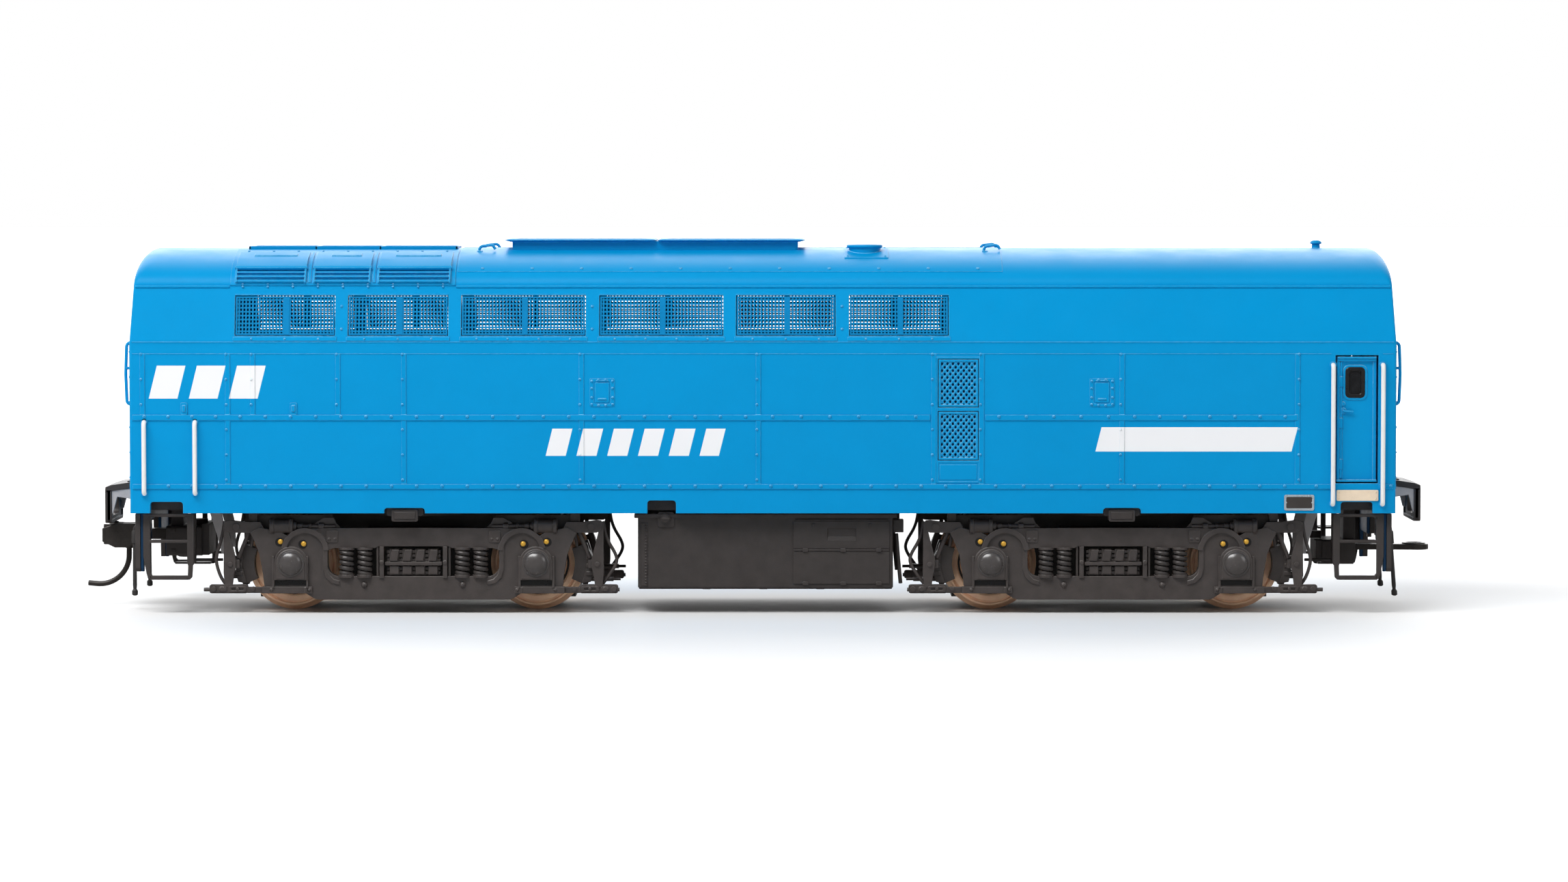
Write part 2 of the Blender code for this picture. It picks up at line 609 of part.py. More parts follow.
def worm_thread():
    """The worm's right-handed thread; a gap is over the worm gear's top tooth."""
    steps_per_turn = 12
    half_turns = 4
    inner, tip = 1.2, WORM_PITCH_RADIUS + 0.35
    loops = []
    for step in range(-half_turns * steps_per_turn // 2, half_turns * steps_per_turn // 2 + 1):
        turn = step / steps_per_turn
        angle = 2 * math.pi * turn - math.pi / 2
        middle = WORM_LEAD * (turn + 0.5)
        ring = []
        for share, radius in ((-TOOTH_ROOT_SHARE, inner), (-TOOTH_TIP_SHARE, tip),
                              (TOOTH_TIP_SHARE, tip), (TOOTH_ROOT_SHARE, inner)):
            ring.append((middle + share * WORM_LEAD, radius * math.cos(angle),
                         WORM_Z + radius * math.sin(angle)))
        loops.append(ring)
    return stack(loops)


# ---- trucks --------------------------------------------------------------------------------------------
def make_gearbox(place, grey, parent):
    half_width = 5.2
    case = box((-22.9, 22.9), (-half_width, half_width), (1.95, 13.0))
    bevels = [prism([(side * 23.5, 9.5), (side * 19.5, 13.5), (side * 23.5, 13.5)], "Y", -6, 6)
              for side in (-1, 1)]
    cut(case, *bevels)
    join(case, rod("Z", (0, 0), 10.4, 12.7, 13.5, 20), rod("Z", (0, 0), COLLAR_RADIUS, 13.2, 15.2, 20))
    join(case, box((-5.8, 5.8), (-4.4, 4.4), (14.8, WORM_Z)))
    join(case, box((-7.0, 7.0), (-12.6, 12.6), (9.0, 11.0)))
    room_y = GEAR_HALF_WIDTH + 0.5
    cut(case, box((-21.7, 21.7), (-room_y, room_y), (0, 12.5)))
    cut(case, box((-4.9, 4.9), (-room_y, room_y), (12, WORM_Z + 1)))
    cut(case, rod("X", (0, WORM_Z), 2.8, -5.0, 5.0))
    cut(case, rod("X", (0, WORM_Z), SHAFT_RADIUS + 0.3, -8, 8))
    for side in (-1, 1):
        x = side * AXLE_X
        slot_radius = AXLE_RADIUS + 0.25
        cut(case, rod("Y", (x, AXLE_Z), slot_radius, -8, 8))
        cut(case, box((x - slot_radius, x + slot_radius), (-8, 8), (0, AXLE_Z)))
        join(case, rod("Y", idler_centre(side), GEAR_PIN_RADIUS, -room_y - 0.5, room_y + 0.5, 8))
    for z in (TRANSFER_Z, WORM_GEAR_Z):
        join(case, rod("Y", (0, z), GEAR_PIN_RADIUS, -room_y - 0.5, room_y + 0.5, 8))
    node(case, f"gearbox_{place}", grey, parent)

    cap = box((-5.8, 5.8), (-4.4, 4.4), (WORM_Z + 0.2, WORM_Z + 3.9))
    cut(cap, rod("X", (0, WORM_Z), 2.8, -5.0, 5.0), rod("X", (0, WORM_Z), SHAFT_RADIUS + 0.3, -8, 8))
    node(cap, f"worm_cover_{place}", grey, parent)
    keeper = box((-22.4, 22.4), (-half_width, half_width), (0.95, 1.6))
    node(keeper, f"keeper_plate_{place}", grey, parent)


def make_gear_train(place, inward, plastic, steel, bronze, parent):
    worm_rows = [(-inward * 7.0, SHAFT_RADIUS), (-inward * 4.2, SHAFT_RADIUS), (-inward * 4.2, 1.4),
                 (inward * 4.2, 1.4), (inward * 4.2, SHAFT_RADIUS), (inward * CUP_X[0], SHAFT_RADIUS),
                 (inward * CUP_X[0], CUP_OUTER),
                 (inward * CUP_X[1], CUP_OUTER)]
    worm = lathe(worm_rows, "X", (0, WORM_Z), 14)
    cut(worm, rod("X", (0, WORM_Z), CUP_INNER, *mirrored(CUP_X[0] + 0.6, CUP_X[1] + 1, inward)))
    join(worm, worm_thread())
    node(worm, f"worm_{place}", steel, parent, (0, 0, WORM_Z))

    top_centre, low_centre = (0.0, WORM_GEAR_Z), (0.0, TRANSFER_Z)
    top_phase = math.pi / 2
    node(gear_solid(WORM_GEAR_TEETH, top_phase, top_centre, GEAR_BORE), f"worm_gear_{place}", plastic, parent,
         (0, 0, WORM_GEAR_Z))
    low_phase = mating_phase(WORM_GEAR_TEETH, top_phase, top_centre, TRANSFER_TEETH, low_centre)
    transfer = gear_solid(TRANSFER_TEETH, low_phase, low_centre, GEAR_BORE)
    node(transfer, f"transfer_gear_{place}", plastic, parent,
         (0, 0, TRANSFER_Z))
    for end, side in (("inner", inward), ("outer", -inward)):
        idler, axle = idler_centre(side), (side * AXLE_X, AXLE_Z)
        idler_phase = mating_phase(TRANSFER_TEETH, low_phase, low_centre, IDLER_TEETH, idler)
        gear = gear_solid(IDLER_TEETH, idler_phase, idler, GEAR_BORE)
        node(gear, f"idler_gear_{place}_{end}", plastic, parent, (idler[0], 0, idler[1]))
        axle_phase = mating_phase(IDLER_TEETH, idler_phase, idler, AXLE_GEAR_TEETH, axle)
        make_wheelset(f"wheelset_{place}_{end}", side, axle_phase, bronze, parent)


def make_wheelset(name, side, gear_phase, bronze, parent):
    """Two flanged wheels and a drive gear pressed on one axle."""
    centre = (side * AXLE_X, AXLE_Z)
    half = [(WHEEL_BACK_Y, AXLE_RADIUS), (WHEEL_BACK_Y, FLANGE_RADIUS), (7.85, FLANGE_RADIUS),
            (8.1, TREAD_RADIUS),
            (WHEEL_FACE_Y, TREAD_RADIUS), (WHEEL_FACE_Y, 1.7), (AXLE_END_Y, AXLE_RADIUS)]
    rows = [(-along, radius) for along, radius in half[::-1]] + half
    wheels = lathe(rows, "Y", centre, 16)
    join(wheels, gear_solid(AXLE_GEAR_TEETH, gear_phase, centre, 0.0))
    node(wheels, name, bronze, parent, (centre[0], 0, centre[1]))


def sideframe_outline():
    """Half of the frame's outline (x, z), from its lower middle round to its upper middle."""
    arch_x, arch_z, arch_radius = 15.2, 8.0, 3.25
    turns = [math.radians(turn) for turn in (55, 35, 15, 0)]
    arch = [(arch_x + arch_radius * math.sin(turn), arch_z + arch_radius * math.cos(turn)) for turn in turns]
    return [(11.4, 1.6), (12.8, 2.1), (21.0, 2.1), (21.2, 8.0), (20.2, 9.3), *arch]


def make_sideframe(name, sign, black, parent):
    """A cast side frame with its axle boxes, springs and brake gear."""
    right = sideframe_outline()
    outline = right + [(-x, z) for x, z in right[::-1]]
    frame = prism(outline, "Y", *mirrored(13.2, 15.2, sign))
    cut(frame, box((-11.8, 11.8), mirrored(12, 17, sign), (4.55, 8.45)))
    for x in (-9.5, -7.0, 7.0, 9.5):
        join(frame, rod("Z", (x, sign * 14.3), 0.88, 4.3, 8.7, 8))
    join(frame, box((-3.2, 3.2), mirrored(13.5, 15.5, sign), (4.3, 8.7)))
    for side in (-1, 1):
        x = side * AXLE_X
        join(frame, box((x - 2.15, x + 2.15), mirrored(14.8, 15.9, sign), (3.45, 8.85)))
        dome = [(sign * 15.5, 1.8), (sign * 16.1, 1.6), (sign * 16.5, 0.9)]
        join(frame, lathe(dome, "Y", (x, 6.4), 10))
        cylinder = rod("X", (sign * 14.4, 11.5), 1.1, *mirrored(17.9, 21.3, side), 8)
        arm = box(mirrored(20.8, 26.6, side), mirrored(13.9, 14.9, sign), (10.7, 12.1))
        rail = box(mirrored(20.5, 28.6, side), mirrored(13.7, 14.7, sign), (2.2, 3.2))
        hanger = box(mirrored(25.2, 26.5, side), mirrored(13.8, 14.6, sign), (2.6, 11.4))
        shoe = box(mirrored(24.1, 25.5, side), mirrored(8.4, 14.3, sign), (4.2, 7.9))
        join(frame, cylinder, arm, rail, hanger, shoe)
        post = box(mirrored(17.9, 20.0, side), mirrored(13.6, 15.0, sign), (9.0, 10.6))
        join(frame, post)
    node(frame, name, black, parent)


def main():
    clear_scene()
    blue = paint("body_blue", (0.0, 0.29, 0.66), 0.42)
    roof_blue = paint("screen_blue", (0.0, 0.2, 0.5), 0.5)
    white = paint("handrail_white", (0.8, 0.8, 0.8), 0.4)
    black = paint("underframe_black", (0.06, 0.055, 0.05), 0.6)
    grey = paint("gearbox_grey", (0.09, 0.085, 0.08), 0.6)
    cast = paint("cast_metal", (0.2, 0.2, 0.2), 0.5, 0.8)
    steel = paint("steel", (0.5, 0.5, 0.5), 0.3, 1.0)
    brass = paint("brass", (0.75, 0.5, 0.2), 0.3, 1.0)
    bronze = paint("wheel_bronze", (0.5, 0.36, 0.25), 0.35, 0.9)
    plastic = paint("gear_plastic", (0.75, 0.72, 0.62), 0.5)
    green = paint("board_green", (0.02, 0.15, 0.05), 0.5)

    make_body_shell(blue)
    make_roof_pieces(blue, roof_blue)
    make_side_doors(blue)
    make_handrails(white)
    make_chassis(cast)
    make_fuel_tank(black)
    make_motor(cast, steel, brass, green)
    make_speaker(black)
    make_coupler_box(black)
    make_coupler(black)
    make_drawbar(black)
    make_buffers(black)
    make_pilots(black)
    for place, sign in TRUCKS:
        parent = pivot(f"truck_{place}_pivot", (sign * TRUCK_CENTRE_X, 0, 0))
        make_gearbox(place, grey, parent)
        make_gear_train(place, -sign, plastic, steel, bronze, parent)
        for side, side_sign in RAIL_SIDES:
            make_sideframe(f"sideframe_{place}_{side}", side_sign, black, parent)


main()
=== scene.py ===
"""Looks of the HO-scale booster locomotive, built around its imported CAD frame.

Lengths are in millimetres and become metres when a piece is placed. A side's details are
drawn for the left side, at +Y, and mirrored for the right one. Each truck's details are
drawn about the truck's centre and shifted to it.
"""
import json
import math

import bmesh
import bpy
from mathutils import Matrix, Vector


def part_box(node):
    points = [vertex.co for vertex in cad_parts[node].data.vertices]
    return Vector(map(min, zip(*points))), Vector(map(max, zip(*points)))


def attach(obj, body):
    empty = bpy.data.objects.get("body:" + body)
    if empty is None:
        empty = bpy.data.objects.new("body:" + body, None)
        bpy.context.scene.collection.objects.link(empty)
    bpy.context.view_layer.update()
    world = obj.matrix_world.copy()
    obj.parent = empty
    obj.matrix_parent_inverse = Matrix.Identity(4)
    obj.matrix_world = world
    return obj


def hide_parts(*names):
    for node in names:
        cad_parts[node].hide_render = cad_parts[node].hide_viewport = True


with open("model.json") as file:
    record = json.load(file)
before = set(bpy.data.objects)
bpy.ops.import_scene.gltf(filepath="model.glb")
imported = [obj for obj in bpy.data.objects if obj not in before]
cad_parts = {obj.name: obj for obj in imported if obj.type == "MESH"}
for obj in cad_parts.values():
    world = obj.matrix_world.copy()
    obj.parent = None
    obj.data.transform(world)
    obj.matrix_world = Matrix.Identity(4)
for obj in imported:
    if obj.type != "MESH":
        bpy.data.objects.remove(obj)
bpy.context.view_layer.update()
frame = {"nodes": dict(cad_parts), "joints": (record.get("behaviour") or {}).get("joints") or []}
MM = 0.001
SIDES = (("right", -1), ("left", 1))


def span(node):
    """A CAD node's lowest and highest corners."""
    low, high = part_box(node)
    return low / MM, high / MM


def joint_place(name):
    found = next(joint for joint in frame["joints"] if joint["name"] == name)
    return Vector(found["pos_m"]) / MM


# ---- driving sizes, from the frame ------------------------------------------------------
SHELL_LOW, SHELL_HIGH = span("body_shell")
REAR, FRONT = SHELL_LOW.x, SHELL_HIGH.x
HALF = SHELL_HIGH.y
SKIRT, CROWN = SHELL_LOW.z, SHELL_HIGH.z
SHOULDER = SKIRT + 24.0
EAVE = SHOULDER + 7.65
LEAN = 1.6 / (EAVE - SHOULDER)      # how the tops of the sides lean in
EAVE_HALF = HALF - 1.6
RISE = CROWN - EAVE
END_SETBACK = 0.45
END_CURVE = 1.9
WALL = 1.2
WINDOWS = ((-73.8, -59.8), (-58.0, -44.0), (-42.2, -24.8), (-22.9, -5.6), (-3.8, 10.1), (12.0, 25.9))
WINDOW_Z = (SHOULDER + 0.8, SHOULDER + 6.4)
GRILLE_X = (24.4, 30.1)
GRILLE_PANELS = ((SKIRT + 7.4, SKIRT + 14.3), (SKIRT + 14.8, SKIRT + 21.6))
DOOR_X = (79.9, 85.9)
DOOR_Z = (SKIRT + 4.2, SKIRT + 22.1)
LOWER_BELT = (SKIRT + 3.4, SKIRT + 4.1)
UPPER_BELT = (SKIRT + 13.0, SKIRT + 13.8)
SHEET_TOP = SKIRT + 22.3
NOTCHES = ((-85.7, -81.1, 15.15), (80.7, 85.2, 15.15), (-16.2, -12.2, 15.35), (-53.0, -47.3, 14.3),
           (47.5, 52.8, 14.3))
TRUCKS = {place: joint_place(f"truck_{place}_swivel").x for place in ("front", "rear")}
AXLE = joint_place("wheelset_front_outer_spin")
AXLE_REACH = AXLE.x - TRUCKS["front"]


# ---- outlines ---------------------------------------------------------------------------
def arc(centre, radius, start, end, steps):
    """Points on an arc between two angles in degrees."""
    turns = [math.radians(start + (end - start) * step / steps) for step in range(steps + 1)]
    return [(centre[0] + radius * math.cos(turn), centre[1] + radius * math.sin(turn)) for turn in turns]


def rounded(x, z, radius, steps=4):
    """A rectangle's outline with rounded corners."""
    corners = ((x[1] - radius, z[1] - radius, 0), (x[0] + radius, z[1] - radius, 90),
               (x[0] + radius, z[0] + radius, 180), (x[1] - radius, z[0] + radius, 270))
    return [point for cx, cz, start in corners for point in arc((cx, cz), radius, start, start + 90, steps)]


def circle(centre, radius, sides):
    return arc(centre, radius, 0, 360, sides)[:-1]


def grown(limits, amount):
    return limits[0] - amount, limits[1] + amount


def soften(path, reach, steps=5):
    """A path with each corner swapped for a smooth bend."""
    spots = [Vector(point) for point in path]
    bent = [spots[0]]
    for before, corner, after in zip(spots, spots[1:], spots[2:]):
        to_before, to_after = before - corner, after - corner
        start = corner + to_before.normalized() * min(reach, to_before.length / 2)
        end = corner + to_after.normalized() * min(reach, to_after.length / 2)
        for step in range(steps + 1):
            share = step / steps
            bent.append(start.lerp(corner, share).lerp(corner.lerp(end, share), share))
    return bent + [spots[-1]]


def between(first, second):
    """A stretch's two ends, the lower one first."""
    return tuple(sorted((first, second)))


def on_axis(axis, along, first, second):
    return {"X": (along, first, second), "Y": (first, along, second), "Z": (first, second, along)}[axis]


# ---- solids -----------------------------------------------------------------------------
class Sketch:
    """Closed solids, in millimetres, that are gathered into one piece."""

    def __init__(self):
        self.mesh = bmesh.new()

    def stack(self, loops):
        """A solid through loops with equal numbers of points."""
        rows = [[self.mesh.verts.new(point) for point in loop] for loop in loops]
        self.mesh.faces.new(rows[0][::-1])
        self.mesh.faces.new(rows[-1])
        for low, high in zip(rows, rows[1:]):
            for here, corner in enumerate(low):
                self.mesh.faces.new((low[here - 1], corner, high[here], high[here - 1]))
        return self

    def prism(self, outline, axis, low, high):
        return self.stack([[on_axis(axis, end, *point) for point in outline] for end in (low, high)])

    def box(self, x, y, z):
        return self.prism(((x[0], y[0]), (x[1], y[0]), (x[1], y[1]), (x[0], y[1])), "Z", *z)

    def rod(self, axis, centre, radius, low, high, sides=20):
        return self.prism(circle(centre, radius, sides), axis, low, high)

    def lathe(self, profile, axis, centre, sides=32):
        """A turned solid; the profile is (along, radius) from one end to the other."""
        return self.stack([[on_axis(axis, along, *point) for point in circle(centre, radius, sides)]
                           for along, radius in profile])

    def plate(self, outlines, axis, low, high):
        """An outline with holes in it, drawn out along an axis."""
        flat = bmesh.new()
        points = [point for outline in outlines for point in outline]
        corners = [flat.verts.new((*point, 0.0)) for point in points]
        flat.verts.index_update()
        start, edges = 0, []
        for outline in outlines:
            edges += [(start + step, start + (step + 1) % len(outline)) for step in range(len(outline))]
            start += len(outline)
        for first, second in edges:
            flat.edges.new((corners[first], corners[second]))
        bmesh.ops.triangle_fill(flat, edges=flat.edges[:], use_beauty=True)
        ends = [[self.mesh.verts.new(on_axis(axis, end, *point)) for point in points] for end in (low, high)]
        for face in flat.faces:
            for end in ends:
                self.mesh.faces.new([end[corner.index] for corner in face.verts])
        for first, second in edges:
            self.mesh.faces.new((ends[0][first], ends[0][second], ends[1][second], ends[1][first]))
        flat.free()
        return self

    def tube(self, path, radius, sides=10):
        """A round wire along a path."""
        spots = [Vector(point) for point in path]
        ways = [(spots[min(here + 1, len(spots) - 1)] - spots[max(here - 1, 0)]).normalized()
                for here in range(len(spots))]
        turn = ways[0].to_track_quat("Z", "Y")
        loops = []
        for here, spot in enumerate(spots):
            if here:
                turn = ways[here - 1].rotation_difference(ways[here]) @ turn
            loops.append([spot + turn @ Vector((x, y, 0)) for x, y in circle((0, 0), radius, sides)])
        return self.stack(loops)

    def dome(self, centre, normal, radius, height, sides=8):
        """A round rivet head that grows out of a surface along its normal."""
        turn = Vector(normal).to_track_quat("Z", "Y")
        rings = ((1.0, -0.4), (1.0, 0.1), (0.8, 0.65), (0.35, 0.95))
        loops = [[Vector(centre) + turn @ Vector((x, y, height * rise)) for x,
                  y in circle((0, 0), radius * share, sides)]
                 for share, rise in rings]
        return self.stack(loops)

    def coil(self, centre, radius, wire, low, high, turns, steps=12):
        """An upright helical spring."""
        count = turns * steps
        return self.tube([(centre[0] + radius * math.cos(2 * math.pi * step / steps),
                           centre[1] + radius * math.sin(2 * math.pi * step / steps),
                           low + (high - low) * step / count) for step in range(count + 1)], wire, 6)

    def copy(self):
        twin = Sketch()
        twin.mesh.free()
        twin.mesh = self.mesh.copy()
        return twin

    def absorb(self, part):
        """Take in another sketch's solids."""
        spare = bpy.data.meshes.new("spare")
        part.mesh.to_mesh(spare)
        part.mesh.free()
        self.mesh.from_mesh(spare)
        bpy.data.meshes.remove(spare)

    def mirror(self, sign):
        return self.move(lambda x, y, z: (x, sign * y, z))

    def move(self, rule):
        """Move every point by a rule from (x, y, z) to a new point."""
        for corner in self.mesh.verts:
            corner.co = rule(*corner.co)
        return self


def lean_in(x, y, z):
    """The upper side band's lean, for what was drawn on the upright side."""
    return x, y - LEAN * (z - SHOULDER), z


def apply_modifier(piece):
    """Turn a piece's modified shape into its mesh."""
    bpy.context.view_layer.update()
    seen = piece.evaluated_get(bpy.context.evaluated_depsgraph_get())
    piece.data = bpy.data.meshes.new_from_object(seen)
    piece.modifiers.clear()


def as_object(sketch, name):
    bmesh.ops.recalc_face_normals(sketch.mesh, faces=sketch.mesh.faces)
    bmesh.ops.scale(sketch.mesh, vec=(MM, MM, MM), verts=sketch.mesh.verts)
    mesh = bpy.data.meshes.new(name)
    sketch.mesh.to_mesh(mesh)
    sketch.mesh.free()
    piece = bpy.data.objects.new(name, mesh)
    bpy.context.scene.collection.objects.link(piece)
    return piece


def cut(piece, *sketches):
    """Cut solids out of a piece."""
    for sketch in sketches:
        tool = as_object(sketch, "tool")
        step = piece.modifiers.new("cut", "BOOLEAN")
        step.operation = "DIFFERENCE"
        step.object = tool
        step.solver = "EXACT"
        apply_modifier(piece)
        bpy.data.objects.remove(tool, do_unlink=True)
    return piece


def dress(piece, finish, body, slot=None, bevel=0.0, replaces=(), sharp=35):
    """Soften a piece's edges, paint it and fix it to its body."""
    piece.data.shade_smooth()
    piece.data.set_sharp_from_angle(angle=math.radians(sharp))
    if bevel:
        soft = piece.modifiers.new("soft_edges", "BEVEL")
        soft.width = bevel * MM
        soft.segments = 2
        soft.limit_method = "ANGLE"
        soft.angle_limit = math.radians(40)
        soft.use_clamp_overlap = True
    even = piece.modifiers.new("even_shading", "WEIGHTED_NORMAL")
    even.keep_sharp = True
    piece.data.materials.clear()
    piece.data.materials.append(FINISH[finish])
    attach(piece, body)
    if replaces:
        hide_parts(*replaces)


def place(sketch, name, finish, side=1, body="body", shift=0.0, **more):
    """Make a sketch into a piece, mirrored for the right side and shifted along X."""
    if side < 0 or shift:
        sketch.move(lambda x, y, z: (x + shift, side * y, z))
    dress(as_object(sketch, name), finish, body, **more)


# ---- materials --------------------------------------------------------------------------
class Recipe:
    """Node-building shorthand for one procedural material."""

    def __init__(self, name):
        self.material = bpy.data.materials.new(name)
        self.material.use_nodes = True
        self.tree = self.material.node_tree
        self.shader = self.tree.nodes["Principled BSDF"]
        self.where = self.add("ShaderNodeTexCoord").outputs["Object"]

    def add(self, kind, links=None, **settings):
        made = self.tree.nodes.new(kind)
        for key, value in settings.items():
            setattr(made, key, value)
        for key, value in (links or {}).items():
            self.feed(made.inputs[key], value)
        return made

    def feed(self, socket, value):
        if isinstance(value, bpy.types.NodeSocket):
            self.tree.links.new(value, socket)
        else:
            socket.default_value = value

    def math(self, operation, first, second=0.0, third=0.0):
        made = self.add("ShaderNodeMath", operation=operation)
        for socket, value in zip(made.inputs, (first, second, third)):
            self.feed(socket, value)
        return made.outputs[0]

    def noise(self, size, detail=3.0, rough=0.5):
        """Cloudy noise whose blobs are about size millimetres across."""
        made = self.add("ShaderNodeTexNoise", {"Vector": self.where, "Scale": 1 / (size * MM),
                                               "Detail": detail, "Roughness": rough})
        return made.outputs["Fac"]

    def spread(self, source, low, high, start=0.3, end=0.7):
        made = self.add("ShaderNodeMapRange", {"Value": source, "From Min": start, "From Max": end,
                                               "To Min": low, "To Max": high})
        return made.outputs["Result"]

    def mix(self, share, first, second):
        made = self.add("ShaderNodeMix", data_type="RGBA")
        for key, value in ((0, share), (6, first), (7, second)):
            self.feed(made.inputs[key], value)
        return made.outputs[2]

    def edges(self, radius):
        """Rounded normals, and a painted-highlight mask: how near a sharp edge that looks upward a point is.
        """
        soft = self.add("ShaderNodeBevel", {"Radius": radius * MM}, samples=4).outputs["Normal"]
        flat = self.add("ShaderNodeNewGeometry").outputs["Normal"]
        turn = self.add("ShaderNodeVectorMath", {0: soft, 1: flat}, operation="DOT_PRODUCT").outputs["Value"]
        # Edges that face upward get most of the painted highlight; edges that face down get little of it.
        upward = self.spread(self.add("ShaderNodeSeparateXYZ", {"Vector": soft}).outputs["Z"], 0.15, 1.0,
                             -0.15, 0.35)
        return soft, self.math("MULTIPLY", self.spread(turn, 1.0, 0.0, 0.75, 0.995), upward)


def tint(colour, factor):
    return (*[min(1.0, part * factor) for part in colour], 1.0)


def coating(name, colour, rough, metal=0.0, specular=0.5, mottle=(3.0, 0.08), grain=(0.12, 0.15),
            edge=None, edge_radius=0.08, marks=None, turned=False):
    """A moulded, painted or metal surface with cloudy colour, fine grain, and edges lightened by wear and by
    a painted highlight where they face upward.

    mottle and grain are (size in millimetres, strength); edge is (colour, strength) of the lightened edges,
    part wear and part painted highlight.
    """
    recipe = Recipe(name)
    shader = recipe.shader
    cloud = recipe.noise(mottle[0], 4.0, 0.6)
    shade = recipe.spread(cloud, 0.0, 1.0)
    base = recipe.mix(shade, tint(colour, 1 - mottle[1]), tint(colour, 1 + mottle[1]))
    speck = recipe.noise(grain[0], 2.0, 0.6)
    base = recipe.mix(recipe.spread(speck, 0.0, 0.35, 0.45, 0.75), base, tint(colour, 1 + 3 * mottle[1]))
    if marks:
        base = recipe.mix(marks(recipe), base, (0.86, 0.86, 0.87, 1.0))
    soft, upward_edge_highlight = recipe.edges(edge_radius)
    # The edge colour is mixed in along upward-facing edges and broken up by noise: part wear, part painted
    # highlight.
    if edge:
        worn_and_highlit = recipe.math("MULTIPLY", upward_edge_highlight, recipe.spread(recipe.noise(0.8, 5.0, 0.7), 0.25, 1.0,
                                                                0.35, 0.65))
        base = recipe.mix(recipe.math("MULTIPLY", worn_and_highlit, edge[1]), base, (*edge[0], 1.0))
    height = speck
    if turned:
        height = recipe.math("ADD", recipe.math("MULTIPLY", speck, 0.3), turning_marks(recipe))
    bump = recipe.add("ShaderNodeBump", {"Height": height, "Strength": grain[1], "Distance": 0.03 * MM,
                                         "Normal": soft})
    recipe.feed(shader.inputs["Base Color"], base)
    recipe.feed(shader.inputs["Roughness"], recipe.spread(recipe.noise(mottle[0] * 0.7, 5.0, 0.65),
                                                          rough * 0.85, rough * 1.15))
    recipe.feed(shader.inputs["Normal"], bump.outputs["Normal"])
    shader.inputs["Metallic"].default_value = metal
    shader.inputs["Specular IOR Level"].default_value = specular
    return recipe.material


def turning_marks(recipe):
    """Fine rings about the piece's own Y axis, as a lathe leaves them."""
    parts = recipe.add("ShaderNodeSeparateXYZ", {"Vector": recipe.where}).outputs
    across = recipe.math("ADD", recipe.math("POWER", parts["X"], 2.0), recipe.math("POWER", parts["Z"], 2.0))
    radius = recipe.math("SQRT", across)
    return recipe.math("SINE", recipe.math("MULTIPLY", radius, 2 * math.pi / (0.11 * MM)))


def white_marks(recipe):
    """Plain white bars on both sides: no lettering, only slanted dashes and a band."""
    parts = recipe.add("ShaderNodeSeparateXYZ", {"Vector": recipe.where}).outputs
    x = recipe.math("DIVIDE", parts["X"], MM)
    z = recipe.math("DIVIDE", parts["Z"], MM)
    found = None
    for (left, right), (low, high), pitch, gap in (((-85.8, -70.2), (29.6, 34.2), 5.6, 1.6),
                                                   ((-30.4, -6.2), (21.6, 25.4), 4.3, 1.5),
                                                   ((46.4, 73.8), (22.2, 25.6), 100.0, 0.0)):
        slant = recipe.math("SUBTRACT", x, recipe.math("MULTIPLY", recipe.math("SUBTRACT", z, low), 0.25))
        along = recipe.math("SUBTRACT", slant, left)
        checks = (recipe.math("GREATER_THAN", along, 0.0), recipe.math("LESS_THAN", along, right - left),
                  recipe.math("GREATER_THAN", z, low), recipe.math("LESS_THAN", z, high),
                  recipe.math("LESS_THAN", recipe.math("MODULO", along, pitch), pitch - gap))
        inside = checks[0]
        for check in checks[1:]:
            inside = recipe.math("MULTIPLY", inside, check)
        found = inside if found is None else recipe.math("MAXIMUM", found, inside)
    return recipe.math("MULTIPLY", found, 0.97)


def glossy_pane(name, colour):
    """Dark smoked glass."""
    recipe = Recipe(name)
    base = recipe.mix(recipe.spread(recipe.noise(1.5), 0.0, 1.0), tint(colour, 0.7), tint(colour, 1.3))
    recipe.feed(recipe.shader.inputs["Base Color"], base)
    recipe.feed(recipe.shader.inputs["Roughness"], recipe.spread(recipe.noise(0.6), 0.04, 0.1))
    return recipe.material


def circuit_green():
    """Solder mask with copper tracks showing through it."""
    recipe = Recipe("circuit_green")
    cells = recipe.add("ShaderNodeTexVoronoi", {"Vector": recipe.where, "Scale": 1 / (2.6 * MM)},
                       feature="DISTANCE_TO_EDGE", distance="CHEBYCHEV").outputs["Distance"]
    track = recipe.math("LESS_THAN", cells, 0.07)
    base = recipe.mix(track, (0.012, 0.11, 0.035, 1), (0.03, 0.26, 0.07, 1))
    recipe.feed(recipe.shader.inputs["Base Color"], base)
    recipe.feed(recipe.shader.inputs["Roughness"], recipe.spread(recipe.noise(0.8), 0.25, 0.4))
    bump = recipe.add("ShaderNodeBump", {"Height": track, "Strength": 0.3, "Distance": 0.03 * MM})
    recipe.feed(recipe.shader.inputs["Normal"], bump.outputs["Normal"])
    return recipe.material


